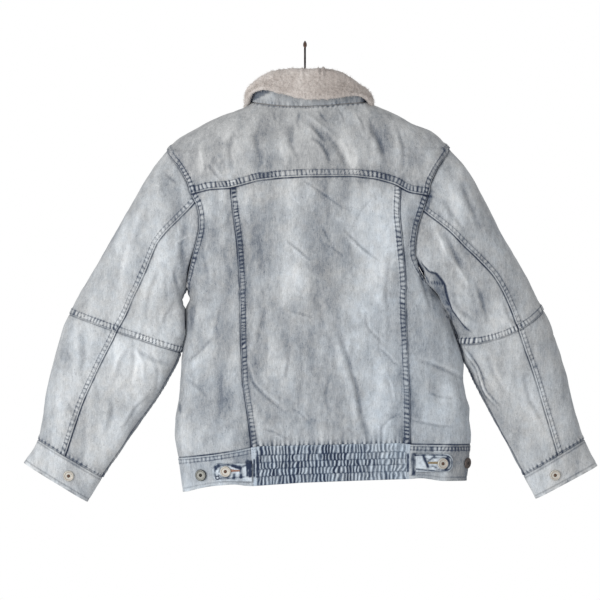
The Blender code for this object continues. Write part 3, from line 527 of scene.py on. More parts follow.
class Seam:
    """A sewn line on the cloth.  up is 1 when the raised band lies on the left
    of the line's way as seen from outside, -1 on the right, 0 for both."""

    def __init__(self, pts, width=9.0, up=1, pitch=7.0, lift=0.9, ladder=0.75, dark=0.42, light=0.22,
                 fold=0.5, blue=0.10, stitch=(1.6, 7.4), slant=0.10, seed=0, beside=0.35, strip=0.0, thread=0.30, filled=0.10, along=None, by=0):
        self.along, self.by = along, by
        self.pts, self.arc = resampled(pts)
        self.width, self.up, self.pitch, self.lift = width, up, pitch, lift
        self.ladder, self.dark, self.light, self.fold = ladder, dark, light, fold
        self.blue, self.stitch, self.slant, self.seed, self.beside = blue, stitch, slant, seed, beside
        self.strip, self.thread, self.filled = strip, thread, filled
        self.tangent = unit(np.gradient(self.pts, axis=0))

    def place(self, p, n, reach=26.0):
        """Signed distance and arc of grid points near the line; far ones get 999."""
        shape = p.shape[:-1]
        p, n = p.reshape(-1, 3), n.reshape(-1, 3)
        s = np.full(len(p), 999.0)
        arc = np.zeros(len(p))
        lo, hi = self.pts.min(axis=0) - reach, self.pts.max(axis=0) + reach
        near = np.nonzero(np.all((p > lo) & (p < hi), axis=1))[0]
        for start in range(0, len(near), 4000):
            idx = near[start:start + 4000]
            d2 = ((p[idx, None, :] - self.pts[None]) ** 2).sum(axis=2)
            j = d2.argmin(axis=1)
            ok = d2[np.arange(len(idx)), j] < reach * reach
            idx, j = idx[ok], j[ok]
            off = p[idx] - self.pts[j]
            t = self.tangent[j]
            b = unit(np.cross(n[idx], t))
            s[idx] = np.sum(off * b, axis=1)
            along = np.sum(off * t, axis=1)
            past = ((j == 0) & (along < -1.5)) | ((j == len(self.pts) - 1) & (along > 1.5))
            arc[idx] = self.arc[j] + along
            s[idx[past]] = 999.0
        return s.reshape(shape), arc.reshape(shape)

    def field(self, p, n):
        s, arc = self.place(p, n)
        far = s > 900
        x = s * (self.up if self.up else 1)
        w, strip, seed = self.width, self.strip, self.seed
        if self.up == 0:
            x = np.abs(s) + w / 2
        band = step(-0.6, 0.7, x) * (1 - step(w - 0.6, w + 2.6, x))
        # uneven rungs: their spacing, tilt, length and strength all wander
        tilt = self.slant + 0.5 * line_noise(arc, 13.0, seed + 2)
        a = arc + tilt * (x - 0.5 * w)
        phase = a / self.pitch + 0.62 * line_noise(arc, 2.3 * self.pitch, seed) + 0.5 * line_noise(arc, 7 * self.pitch, seed + 3)
        wave = np.cos(2 * np.pi * phase)
        strong = np.clip(0.66 + 0.75 * line_noise(arc, 36.0, seed + 5) + 0.55 * line_noise(arc, 10.0, seed + 6), 0.04, 1.45)
        fill, seam_strength, pale = np.clip(line_noise(arc, 24.0, seed + 31), 0, 1), 1.0, strong
        if self.along:                                  # how strongly the seam is marked, place by place on the back
            k = np.interp(picture(p)[self.by], column(self.along, 0), column(self.along, 1))
            k = np.where(n[..., 1] > 0, k, 1.0)
            strong = np.clip(0.62 + 0.22 * line_noise(arc, 36.0, seed + 5) + 0.50 * line_noise(arc, 10.0, seed + 6), 0.04, 1.45) * k
            fill = (fill + 0.9 * np.clip(k - 0.95, 0, 1)) * np.minimum(k, 1.1)
            seam_strength = 0.35 + 0.65 * np.minimum(k, 1.1)
            pale = np.maximum(strong, 0.75)
        short = 0.35 * w * np.clip(line_noise(arc, 8.0, seed + 13), -0.2, 1)
        inner = step(strip - 0.5, strip + 0.9, x)
        env = inner * (1 - step(w - 1.6, w + 6.0, x)) + self.beside * bell(x + 3.6, 3.6)
        core = inner * (1 - step(w - 1.0 - short, w + 1.2 - short, x)) + 0.22 * env
        if self.up == 0:
            env = core = 1 - step(w - 1.5, w + 5.0, x)
        band, env, core = (np.where(far, 0, v) for v in (band, env, core))
        height = self.lift * band + self.ladder * np.minimum(strong, 1.1) * wave * env
        valley = 0.5 - 0.5 * wave
        tone = core * (strong * self.dark * valley ** 3.2 - pale * self.light * (1 - valley) ** 1.2 + self.filled * fill)
        for k, d in enumerate(self.stitch):
            g = np.where(far, 0, bell(x - d - 0.35 * line_noise(arc, 16.0, seed + 51 + k), 0.7)) \
                * np.clip(0.85 + 0.6 * line_noise(arc, 11.0, seed + 21 + k), 0.15, 1.4)
            height = height - 0.45 * g
            tone = tone + self.thread * seam_strength * g
        # painted shadow: the band's fold line is darkened along its edge
        if self.fold and self.up:
            uneven = np.clip(0.75 + 0.6 * line_noise(arc, 31.0, seed + 9) + 0.35 * line_noise(arc, 8.0, seed + 10), 0.2, 1.3)
            g = np.where(far, 0, bell(x + 0.5, 1.05))
            height = height - 0.9 * g
            tone = tone + self.fold * uneven * (0.4 + 0.6 * seam_strength) * g
            if strip:
                tone = tone - 0.09 * np.where(far, 0, step(0.2, 0.9, x) * (1 - step(strip - 0.9, strip - 0.1, x)))
        blue = np.where(far, 0, bell(x - w / 2, w * 1.25)) * self.blue \
            * np.clip(0.9 + 0.9 * line_noise(arc, 46.0, seed + 11), 0, 2)
        return height, tone + blue


# ---------------------------------------------------------------- strokes
def picture(p):
    """Places of points in the back view's own units."""
    return X0 - p[..., 0] / PX, Y0 - p[..., 2] / PX


def near_path(u, v, pts, reach):
    """Signed distance and share of the way along a path in the view's plane."""
    pts = np.asarray(pts, float)
    shape = u.shape
    u, v = u.reshape(-1), v.reshape(-1)
    dist = np.full(len(u), 1e3)
    share = np.zeros(len(u))
    lo, hi = pts.min(axis=0) - reach, pts.max(axis=0) + reach
    idx = np.nonzero((u > lo[0]) & (u < hi[0]) & (v > lo[1]) & (v < hi[1]))[0]
    if len(idx):
        seg = np.linalg.norm(np.diff(pts, axis=0), axis=1)
        arc = np.concatenate([[0], np.cumsum(seg)])
        n = max(4, int(arc[-1] / 1.2) + 1)
        s = np.linspace(0, arc[-1], n)
        q = np.stack([np.interp(s, arc, pts[:, k]) for k in (0, 1)], axis=1)
        if n > 8:
            for _ in range(3):
                q[1:-1] = 0.25 * q[:-2] + 0.5 * q[1:-1] + 0.25 * q[2:]
        t = unit(np.gradient(q, axis=0))
        for start in range(0, len(idx), 6000):
            i = idx[start:start + 6000]
            du = u[i, None] - q[None, :, 0]
            dv = v[i, None] - q[None, :, 1]
            d2 = du * du + dv * dv
            j = d2.argmin(axis=1)
            k = np.arange(len(i))
            cross = t[j, 0] * dv[k, j] - t[j, 1] * du[k, j]
            d = np.sqrt(d2[k, j])
            dist[i] = np.where(cross >= 0, d, -d)
            share[i] = j / (n - 1)
    return dist.reshape(shape), share.reshape(shape)


def stroke(u, v, pts, width, height, tone=0.0, sharp=0.0, lee=0.6):
    """One crease: a trough for height below 0 and a ridge above, faded at its
    ends, with a softer rise on the side that lee's sign picks."""
    d, share = near_path(u, v, pts, 5 * width + 2)
    fade = np.clip(np.sin(np.pi * np.clip(share, 0, 1)), 0, 1) ** 0.55
    main = bell(d, width)
    other = bell(d - math.copysign(2.1 * width, lee), 1.5 * width) * abs(lee)
    h = height * (main - other) * fade
    # tone paints shade along the crease's line, and a painted highlight where tone is below 0
    line = bell(d, 0.75 * width + 0.35)
    t = tone * (line - 0.45 * other) * fade
    return h, t


def blob(u, v, cx, cy, rx, ry, turn, amount, warp):
    c, s = math.cos(math.radians(turn)), math.sin(math.radians(turn))
    a, b = u - cx, v - cy
    x, y = (a * c + b * s) / rx, (-a * s + b * c) / ry
    r = np.sqrt(x * x + y * y) + 0.28 * warp
    return amount * (1 - step(0.35, 1.25, r))


# ---------------------------------------------------------------- meshes
ALL_OUTER = []          # (points, normals) of the outer skins, for the stitches


def new_mesh(name, points, faces, slots, material_index=None, uv=None, layers=None):
    mesh = bpy.data.meshes.new(name)
    points = np.asarray(points, np.float32) * MM
    quads = [f for f in faces if len(f)]
    counts = np.concatenate([np.full(len(f), f.shape[1], np.int32) for f in quads])
    loops = np.concatenate([f.reshape(-1) for f in quads]).astype(np.int32)
    mesh.vertices.add(len(points))
    mesh.vertices.foreach_set("co", points.reshape(-1))
    mesh.loops.add(len(loops))
    mesh.loops.foreach_set("vertex_index", loops)
    mesh.polygons.add(len(counts))
    starts = np.concatenate([[0], np.cumsum(counts)[:-1]]).astype(np.int32)
    mesh.polygons.foreach_set("loop_start", starts)
    mesh.polygons.foreach_set("loop_total", counts)
    if material_index is not None:
        mesh.polygons.foreach_set("material_index", np.asarray(material_index, np.int32))
    mesh.polygons.foreach_set("use_smooth", np.ones(len(counts), bool))
    for mat in slots:
        mesh.materials.append(mat)
    mesh.update(calc_edges=True)
    if uv is not None:
        layer = mesh.uv_layers.new(name="UVMap")
        layer.data.foreach_set("uv", np.asarray(uv, np.float32)[loops].reshape(-1))
    for key, values in (layers or {}).items():
        attr = mesh.attributes.new(key, "FLOAT", "POINT")
        attr.data.foreach_set("value", np.asarray(values, np.float32))
    mesh.validate()
    obj = bpy.data.objects.new(name, mesh)
    bpy.context.scene.collection.objects.link(obj)
    return obj


def grid_faces(rows, cols, start=0, wrap=False, flip=False):
    r = np.arange(rows - 1)[:, None]
    c = np.arange(cols if wrap else cols - 1)[None, :]
    d = (c + 1) % cols
    a = start + r * cols + c
    b = start + r * cols + d
    e = start + (r + 1) * cols + d
    f = start + (r + 1) * cols + c
    q = np.stack([a, b, e, f] if not flip else [a, f, e, b], axis=-1)
    return q.reshape(-1, 4)


def subset(n, gap):
    k = max(2, int(round((n - 1) / gap)) + 1)
    return np.unique(np.round(np.linspace(0, n - 1, k)).astype(int))


def rim(outer_ids, inner_ids, marks, flip):
    """Triangles between an outer edge and the inner edge's fewer points."""
    tris = []
    for k in range(len(marks) - 1):
        a, b = marks[k], marks[k + 1]
        m = (a + b) // 2
        tris += [(outer_ids[i], outer_ids[i + 1], inner_ids[k]) for i in range(a, m)]
        tris.append((outer_ids[m], inner_ids[k + 1], inner_ids[k]))
        tris += [(outer_ids[i], outer_ids[i + 1], inner_ids[k + 1]) for i in range(m, b)]
    t = np.array(tris)
    return t[:, ::-1] if flip else t


def shell(name, base, normal, height, tone, slots, thick=DENIM, wrap=False, inner_gap=5,
          back=None, warm=None, lining=1, uv=None, edge_mat=0):
    """A closed cloth piece: the displaced outer skin, a coarser inner skin and
    the cut edges between them."""
    rows, cols = base.shape[:2]
    outer = base + height[..., None] * normal
    ALL_OUTER.append((outer.reshape(-1, 3), normal.reshape(-1, 3)))
    ri, ci = subset(rows, inner_gap), subset(cols, inner_gap)
    if wrap:
        ci = np.unique(np.round(np.linspace(0, cols, max(8, cols // inner_gap) + 1)[:-1]).astype(int))
    low = height if back is None else back
    inner = (base + (np.minimum(low, height) - thick)[..., None] * normal)[np.ix_(ri, ci)]
    n_out = rows * cols
    points = np.concatenate([outer.reshape(-1, 3), inner.reshape(-1, 3)])
    ir, ic = len(ri), len(ci)
    ids = np.arange(n_out).reshape(rows, cols)
    ins = n_out + np.arange(ir * ic).reshape(ir, ic)
    front = grid_faces(rows, cols, 0, wrap)
    rear = grid_faces(ir, ic, n_out, wrap, flip=True)
    tris = []
    if wrap:
        marks = np.concatenate([ci, [cols]])
        o0 = np.concatenate([ids[0], ids[0][:1]])
        o1 = np.concatenate([ids[-1], ids[-1][:1]])
        i0 = np.concatenate([ins[0], ins[0][:1]])
        i1 = np.concatenate([ins[-1], ins[-1][:1]])
        tris += [rim(o0, i0, marks, True), rim(o1, i1, marks, False)]
    else:
        tris += [rim(ids[0], ins[0], ci, True), rim(ids[-1], ins[-1], ci, False),
                 rim(ids[:, 0], ins[:, 0], ri, False), rim(ids[:, -1], ins[:, -1], ri, True)]
    tris = np.concatenate(tris)
    # outward faces: compare with the normals
    a, b, c = outer.reshape(-1, 3)[front[:, 0]], outer.reshape(-1, 3)[front[:, 1]], outer.reshape(-1, 3)[front[:, 2]]
    facing = np.sum(np.cross(b - a, c - a) * normal.reshape(-1, 3)[front[:, 0]], axis=1)
    if np.median(facing) < 0:
        front, rear, tris = front[:, ::-1], rear[:, ::-1], tris[:, ::-1]
    index = np.concatenate([np.zeros(len(front)), np.full(len(rear), lining), np.full(len(tris), edge_mat)])
    if uv is None:
        du = np.linalg.norm(np.diff(base, axis=1), axis=2).mean(axis=0)
        dv = np.linalg.norm(np.diff(base, axis=0), axis=2).mean(axis=1)
        uu = np.concatenate([[0], np.cumsum(du)])
        vv = np.concatenate([[0], np.cumsum(dv)])
        uv = np.stack(np.broadcast_arrays(uu[None, :], vv[:, None]), axis=-1)
    uvs = np.concatenate([uv.reshape(-1, 2), uv[np.ix_(ri, ci)].reshape(-1, 2)]) * 0.01
    t = np.concatenate([tone.reshape(-1), tone[np.ix_(ri, ci)].reshape(-1)])
    wv = np.zeros((rows, cols)) if warm is None else warm
    w = np.concatenate([wv.reshape(-1), wv[np.ix_(ri, ci)].reshape(-1)])
    return new_mesh(name, points, [front, rear, tris], slots, index, uvs, {"tone": t, "warm": w})


def flat_area(base):
    """Area of a grid in square metres, folded only as its smooth form is."""
    a = base[1:, 1:] - base[:-1, :-1]
    b = base[1:, :-1] - base[:-1, 1:]
    return float(0.5 * np.linalg.norm(np.cross(a, b), axis=2).sum() * 1e-6)


def spans(base, wrap=False):
    """Longest way across and down a grid, in metres."""
    row = np.concatenate([base, base[:, :1]], axis=1) if wrap else base
    across = np.linalg.norm(np.diff(row, axis=1), axis=2).sum(axis=1).max()
    down = np.linalg.norm(np.diff(base, axis=0), axis=2).sum(axis=0).max()
    return float(across) * MM, float(down) * MM


# ---------------------------------------------------------------- seam lines on the jacket
def back_q(table, drop):
    return q_at(read(table, drop, 1, 8), drop)


V_LINE = np.linspace(0, 1, 120)
YOKE_Q = np.linspace(1, -1, 400)
YOKE_DROP = drop_on(YOKE_Q, 1, YOKE_SEAM, 215, 4.0)
YOKE_PTS = torso(YOKE_Q, YOKE_DROP, 1)
NECK_DROP = drop_on(YOKE_Q, 1, NECK_BACK, 98, 2.0)
NECK_PTS = torso(YOKE_Q, NECK_DROP, 1)


def seam_q(table, x_guess):
    """q along a lengthwise back seam, for shares of the way from yoke to waist."""
    top, low = float(read(YOKE_SEAM, x_guess)), float(read(WAIST_SEAM, x_guess))
    drop = top + (low - top) * V_LINE
    return back_q(table, drop)


QL_LINE, QR_LINE = seam_q(BACK_SEAM_L, 111), seam_q(BACK_SEAM_R, -146)


def lengthwise(q_line, v):
    return np.interp(v, V_LINE, q_line)


def line_on(q_line):
    d0 = drop_on(q_line[:1], 1, YOKE_SEAM, 215, 4.0)[0]
    d1 = drop_on(q_line[-1:], 1, WAIST_SEAM, 640)[0]
    return torso(q_line, d0 + (d1 - d0) * V_LINE, 1)


BACK_L_PTS, BACK_R_PTS = line_on(QL_LINE), line_on(QR_LINE)
TURN_LINE = np.linspace(-179, 179, 300)
ARM_PTS = {1: arm_point(1, TURN_LINE), -1: arm_point(-1, TURN_LINE)}
BACK_TURN = {1: TURNS_L[5], -1: TURNS_R[5]}
PIT_TURN = {1: TURNS_L[10], -1: TURNS_R[10]}
S_LINE = np.linspace(0, 9, 240)
BACK_WAY = {
    1: ((200.0, 196.5), (194.5, 203.1), (187.1, 211.8), (174.6, 223.8), (166.3, 232.9), (157.0, 243.4), (151.6, 256.0),
        (147.8, 266.7), (142.4, 279.0), (137.1, 290.4), (132.5, 298.9), (127.9, 311.9), (123.3, 321.0), (117.2, 330.2),
        (113.4, 339.4), (107.6, 350.0), (99.5, 366.0), (90.0, 386.0), (82.0, 404.0), (75.0, 424.0), (66.0, 452.0), (60.0, 470.0)),
    -1: ((420.5, 208.5), (426.5, 213.3), (438.3, 222.3), (448.4, 230.4), (456.0, 238.2), (463.7, 245.7), (471.3, 252.9),
         (479.0, 260.2), (486.6, 268.2), (493.5, 276.0), (499.6, 284.4), (506.5, 298.0), (512.0, 312.0), (517.0, 326.0),
         (524.0, 346.0), (530.0, 362.0), (538.0, 386.0), (545.0, 410.0), (553.0, 436.0), (560.0, 460.0))}


def back_turns(side):
    """Turn of the sleeve's back seam at each s, so that it runs along BACK_WAY."""
    tries = BACK_TURN[side] + np.linspace(-48, 48, 193)
    grid = sleeve(side, S_LINE[:, None] + 0 * tries[None, :], tries[None, :] + 0 * S_LINE[:, None])
    u, v = picture(grid)
    d, _ = near_path(u, v, BACK_WAY[side], 60)
    out = np.full(len(S_LINE), np.nan)
    for i in range(len(S_LINE)):
        row = d[i]
        k = np.nonzero((row[:-1] * row[1:] <= 0) & (np.abs(row[:-1]) < 6))[0]
        if len(k):
            k = k[np.argmin(np.abs(tries[k] - BACK_TURN[side]))]
            out[i] = tries[k] + (tries[k + 1] - tries[k]) * row[k] / (row[k] - row[k + 1] + 1e-9)
    good = ~np.isnan(out)
    out = np.interp(S_LINE, S_LINE[good], out[good])
    for _ in range(30):
        out[1:-1] = 0.25 * out[:-2] + 0.5 * out[1:-1] + 0.25 * out[2:]
    return out


BACK_AT = {k: back_turns(k) for k in (1, -1)}


def back_turn(side, s):
    return np.interp(s, S_LINE, BACK_AT[side])


SLEEVE_BACK = {k: sleeve(k, S_LINE, BACK_AT[k]) for k in (1, -1)}
SLEEVE_PIT = {k: sleeve(k, S_LINE, PIT_TURN[k]) for k in (1, -1)}
ROUND = np.linspace(0, 360, 240)
ELBOW = {k: sleeve(k, 5.0, ROUND) for k in (1, -1)}
CUFF = {k: sleeve(k, 9.0, ROUND) for k in (1, -1)}
CUFF_END = {k: sleeve(k, 10.0, ROUND) for k in (1, -1)}


def front_x(side):
    return float(read(FRONT_LINE, 160)) + side * PLACKET_HALF


def front_edge(side):
    x0 = front_x(side)
    top, low = float(read(NECK_FRONT, x0)), float(read(WAIST_SEAM, 0))
    drop = top + (low - top) * V_LINE
    return q_at(read(FRONT_LINE, drop) + side * PLACKET_HALF, drop, -1)


FRONT_Q = {1: front_edge(1), -1: front_edge(-1)}


def band_path(parts, gap=1.9):
    """(q, face) samples round the waist, from (q0, q1, face) stretches."""
    qs, faces = [], []
    for q0, q1, face in parts:
        a = torso(np.linspace(q0, q1, 60), 670.0, face)
        length = np.linalg.norm(np.diff(a, axis=0), axis=1).sum()
        n = max(6, int(length / gap))
        q = np.linspace(q0, q1, n)
        if qs:
            q = q[1:]
        qs.append(q)
        faces.append(np.full(len(q), float(face)))
    return np.concatenate(qs), np.concatenate(faces)


BAND_PARTS = {
    "waistband_L": ((FRONT_Q[1][-1], 1, -1), (1, QL_LINE[-1], 1)),
    "waistband_back_elastic": ((QL_LINE[-1], QR_LINE[-1], 1),),
    "waistband_R": ((QR_LINE[-1], -1, 1), (-1, FRONT_Q[-1][-1], -1), (FRONT_Q[-1][-1], FRONT_Q[1][-1], -1))}


def ring_of(line, gap=1.9):
    """The whole waist, as a closed line at the waist seam or hem."""
    q, face = band_path(((1, QL_LINE[-1], 1), (QL_LINE[-1], QR_LINE[-1], 1), (QR_LINE[-1], -1, 1),
                         (-1, FRONT_Q[-1][-1], -1), (FRONT_Q[-1][-1], FRONT_Q[1][-1], -1), (FRONT_Q[1][-1], 1, -1)), gap)
    drop = np.zeros(len(q)) + 660
    for f in (1.0, -1.0):
        m = face == f
        drop[m] = drop_on(q[m], f, line, 660)
    return torso(q, drop, face), q, face, drop


WAIST_PTS, _, WAIST_FACE, _ = ring_of(WAIST_SEAM)
HEM_PTS, _, _, _ = ring_of(HEM)

# Each band has its fold on the line and lies on the side that up names; fold sets the painted shadow along that fold
# line.
SEAM_YOKE = Seam(YOKE_PTS, width=11.3, up=1, pitch=6.2, lift=1.3, ladder=0.9, dark=0.60, light=0.14, fold=0.66,
                 blue=0.04, stitch=(2.8, 10.8), seed=101, strip=2.0, filled=0.22, thread=0.32,
                 along=((190, .6), (212, .95), (228, 1.25), (250, 1.15), (262, 1.35), (276, 1.1), (288, .6), (301, 1.15), (318, .55),
                        (335, .35), (350, .45), (362, .75), (376, 1.15), (398, 1.05), (418, .7), (425, .6)))
SEAM_BACK_L = Seam(BACK_L_PTS, width=8.6, up=1, pitch=5.8, lift=1.1, ladder=0.7, dark=0.40, light=0.13, fold=0.52,
                   blue=0.07, stitch=(1.9, 8.4), seed=111, strip=1.4, thread=0.30, filled=0.20, by=1,
                   along=((188, 1.5), (215, 1.4), (255, 1.2), (275, .9), (295, 1.0), (315, 1.15), (335, 1.3), (355, 1.7),
                          (375, .8), (395, .4), (415, 1.0), (432, .8)))
SEAM_BACK_R = Seam(BACK_R_PTS, width=9.4, up=-1, pitch=6.8, lift=1.1, ladder=0.75, dark=0.50, light=0.16, fold=0.54,
                   blue=0.09, stitch=(1.9, 9.0), seed=121, strip=1.4, thread=0.34, filled=0.22, by=1,
                   along=((192, .95), (225, 1.15), (245, 1.3), (265, .75), (285, .8), (305, 1.05), (325, .8), (345, .75),
                          (365, .62), (385, .55), (405, .6), (425, .75), (440, 1.2)))
SEAM_ARM = {k: Seam(ARM_PTS[k], width=9.0, up=k, pitch=6.6, lift=1.2, ladder=0.45, dark=0.30, light=0.08, fold=0.62,
                    blue=0.06, stitch=(2.4, 8.6), seed=131 + k, strip=2.2, thread=0.40, filled=0.14) for k in (1, -1)}
SLEEVE_ALONG = {1: ((200, 1.0), (228, .8), (242, .45), (258, .5), (268, .9), (282, 1.15), (290, .5), (300, .35), (310, .8), (322, .9), (340, 1.1)),
                -1: ((208, .5), (226, .7), (240, .9), (248, .4), (256, .9), (268, .7), (284, .9), (320, .7))}
SEAM_SLEEVE = {k: Seam(SLEEVE_BACK[k], width=8.6, up=-k, pitch=7.6, lift=1.1, ladder=0.45, dark=(0.30, 0.26)[k > 0], light=(0.09, 0.16)[k > 0],
                       fold=0.55, blue=0.03, stitch=(2.8, 8.2), seed=141 + k, strip=2.6, thread=(0.30, 0.22)[k > 0], filled=0.08,
                       by=1, along=SLEEVE_ALONG[k]) for k in (1, -1)}
SEAM_PIT = {k: Seam(SLEEVE_PIT[k], width=8.0, up=k, pitch=8.2, lift=0.9, ladder=0.5, dark=0.36, light=0.14,
                    fold=0.45, blue=0.08, stitch=(1.8, 6.6), seed=151 + k, strip=1.4) for k in (1, -1)}
SEAM_ELBOW = {k: Seam(ELBOW[k], width=9.6, up=k, pitch=6.0, lift=1.1, ladder=0.8, dark=0.36, light=0.18,
                      fold=0.34, blue=0.04, stitch=(1.8, 9.2), seed=161 + k, strip=1.4, thread=0.30, filled=0.10) for k in (1, -1)}
SEAM_CUFF = {k: Seam(CUFF[k], width=5.0, up=k, pitch=7.5, lift=0.6, ladder=0.6, dark=0.30, light=0.14,
                     fold=0.42, blue=0.06, stitch=(2.0,), seed=171 + k) for k in (1, -1)}
SEAM_HEM = Seam(HEM_PTS, width=7.0, up=0, pitch=8.0, lift=0.5, ladder=0.45, dark=0.20, light=0.12, fold=0,
                blue=0.05, stitch=(), seed=191)
SEAM_NECK = Seam(NECK_PTS, width=4.0, up=-1, pitch=7.5, lift=0.4, ladder=0.5, dark=0.15, light=0.10, fold=0.20,
                 blue=0.01, stitch=(1.8,), seed=195, beside=0.9, thread=0.14, filled=0.0)


# ---------------------------------------------------------------- creases with painted shade and light, and bleaching
# height in mm (below 0 a trough), width, darkening (painted shade along the crease, painted light where below 0; some
# rows paint the shadow line where the sleeve meets the body, some are seam marks), side of the soft rise, then the way
CREASES_BODY = (
    (-1.9, 1.1, 0.16, 0.7, (343, 229), (352, 238), (362, 248), (371, 255), (380, 262)),
    (-1.2, 0.9, 0.18, -0.5, (299.5, 178), (313, 187), (327, 197), (338, 205), (351, 211.5)),
    (-1.0, 0.8, 0.13, -0.5, (371, 199.5), (362, 209), (356.5, 220)),
    (-1.1, 0.9, 0.13, 0.5, (321, 226), (327, 237), (333, 246)), (-1.1, 0.8, 0.15, 0.5, (329, 246), (336, 251), (343, 256)),
    (-1.6, 0.95, 0.23, 0.6, (285.5, 240), (298, 250), (312, 262)),
    (-1.3, 0.9, -0.14, 0.5, (293, 199), (301, 206), (307, 210)),
    (-3.2, 2.6, 0.12, 0.6, (336, 322), (344, 346), (350, 365), (356, 385), (361, 412), (366, 430), (370, 444)),
    (-1.5, 1.2, 0.12, -0.6, (365, 311), (367.4, 328), (378, 338.5), (384, 345)), (-1.5, 1.1, 0.13, -0.6, (377, 346.5), (388, 356), (394, 363), (400, 365)),
    (-2.3, 1.6, 0.12, -0.7, (418, 360), (436, 366), (450, 372), (463, 379)),
    (-1.7, 1.1, 0.12, -0.6, (410, 420), (425, 423), (440, 426), (456, 427)),
    (-1.5, 1.1, 0.13, 0.6, (380.6, 438), (381.5, 427), (389, 419), (401, 413)),
    (-2.3, 1.4, 0.16, -0.7, (247.5, 364), (252.6, 382), (263, 394), (274, 403), (287, 412.5)),
    (-1.5, 0.9, 0.15, -0.5, (291, 407), (300, 412.5), (309, 423)), (-1.3, 0.9, 0.13, 0.5, (286, 310), (300, 313.5), (315, 318.5)),
    (-1.6, 1.4, 0.10, 0.5, (290, 345), (288, 362), (285, 382)),
    
    (-1.5, 1.5, 0.10, -0.6, (214, 337), (202, 349), (187, 362)), (1.3, 3.4, -0.07, 0.4, (217, 343), (204, 356), (190, 368)),
    (-2.0, 4.6, 0.05, 0.5, (217, 352), (220, 395), (218, 442)),
    (-1.6, 2.2, 0.07, 0.5, (267, 300), (262, 325), (255, 352)),
    (-1.8, 2.6, 0.07, -0.5, (316, 290), (322, 320), (320, 350)),
    (-1.5, 2.0, 0.07, 0.5, (391, 250), (386, 290), (389, 330)),
    (-1.6, 1.8, 0.08, 0.5, (418, 262), (424, 285), (432, 312)),
    (-1.3, 1.6, 0.08, -0.5, (205, 222), (203, 250), (208, 280)),
    (-1.5, 1.8, 0.08, 0.5, (222, 300), (216, 330), (220, 352)),
    (-1.4, 1.4, 0.09, 0.5, (330, 372), (325, 395), (331, 420)),
    (-1.3, 1.2, 0.09, 0.5, (262, 428), (275, 432), (290, 440)),
    (-1.2, 1.0, 0.09, -0.5, (345, 425), (352, 432), (357, 442)),
    (-1.2, 1.2, 0.08, 0.5, (183, 378), (194, 384), (206, 396)),
    (-1.3, 1.1, 0.10, 0.5, (428, 392), (440, 397), (458, 399)),
    (1.2, 1.2, -0.10, 0.5, (386, 372), (392, 385), (395, 402)),
    (-1.0, 0.7, 0.50, 0.0, (450, 309.6), (450.8, 321), (456.2, 336.4), (462, 349.8), (465.8, 363)),
    (-0.4, 0.7, 0.36, 0.0, (445.3, 302.5), (449.6, 306)), (-0.4, 0.7, 0.36, 0.0, (445.3, 309), (449.6, 312)), (-0.4, 0.7, 0.32, 0.0, (446, 315.4), (449.8, 318)),
    (-0.3, 0.6, 0.44, 0.0, (428.0, 280.4), (429.2, 284.8)), (-0.3, 0.6, 0.44, 0.0, (430.7, 280.7), (431.9, 285.1)), (-0.3, 0.6, 0.44, 0.0, (433.4, 281.0), (434.6, 285.4)), (-0.3, 0.6, 0.44, 0.0, (436.1, 281.3), (437.3, 285.7)), (-0.3, 0.6, 0.44, 0.0, (438.8, 281.6), (440.0, 286.0)), (-0.3, 0.6, 0.44, 0.0, (441.5, 281.9), (442.7, 286.3)),
    (0.3, 2.1, 0.30, 0.0, (431.6, 188), (430.4, 198), (428.2, 206), (425.4, 215)), (-0.4, 0.9, 0.30, 0.0, (423.5, 195.6), (429, 196.6), (435, 197.2)),
    (-0.6, 1.0, 0.38, 0.0, (438, 274.5), (444.5, 284), (446.5, 294), (449, 303)), (0.0, 0.9, 0.50, 0.0, (417.2, 256), (419, 266), (423, 274), (429, 283)),
    (0.3, 1.1, -0.32, 0.0, (226.5, 182.8), (232, 181.8), (237, 181.2)), (0.3, 1.0, -0.28, 0.0, (226.5, 186.4), (232, 185.6), (237, 185.0)),
    # yoke
    (-2.2, 1.5, 0.15, 0.6, (310, 124), (318, 133), (326, 143)),
    (-2.2, 1.5, 0.13, 0.6, (311, 137), (320, 143), (326, 152), (331, 167)),
    (-2.6, 2.2, 0.12, 0.7, (330, 134), (338, 148), (348, 168)),
    (-3.2, 3.2, 0.10, 0.7, (368, 118), (379, 140), (388, 164)),
    (1.6, 2.2, -0.07, 0.4, (280, 140), (283, 152), (288, 166)),
    (2.6, 2.8, -0.12, 0.4, (340, 138), (346, 150), (352, 166)),
    (2.0, 2.4, -0.10, 0.4, (304, 113), (318, 124), (331, 134), (339, 148), (345, 158)),
    (-1.8, 2.4, 0.08, 0.5, (292, 128), (291, 145), (300, 160)),
    (1.8, 1.6, -0.10, 0.4, (199, 144), (202, 158), (204, 172)),
    (-1.6, 1.5, 0.11, -0.5, (208, 164), (215, 173), (222, 181)),
    (-1.8, 2.4, 0.08, 0.5, (262, 118), (256, 140), (262, 165)),
    (-1.6, 2.0, 0.08, 0.5, (236, 126), (229, 150), (233, 172)),
    (-1.6, 1.8, 0.09, 0.5, (398, 128), (404, 150), (402, 172)),
    (-1.2, 1.1, 0.10, 0.5, (356, 112), (362, 122), (365, 134)),
    (-1.2, 1.3, 0.10, 0.5, (300, 112), (297, 122), (301, 131)),
    (-1.0, 1.0, 0.10, 0.5, (318, 110), (322, 117), (329, 124)),
    (-1.0, 1.0, 0.08, 0.5, (276, 108), (274, 116), (277, 124)),
    (-1.0, 1.0, 0.08, 0.5, (338, 109), (343, 116), (345, 126)),
)
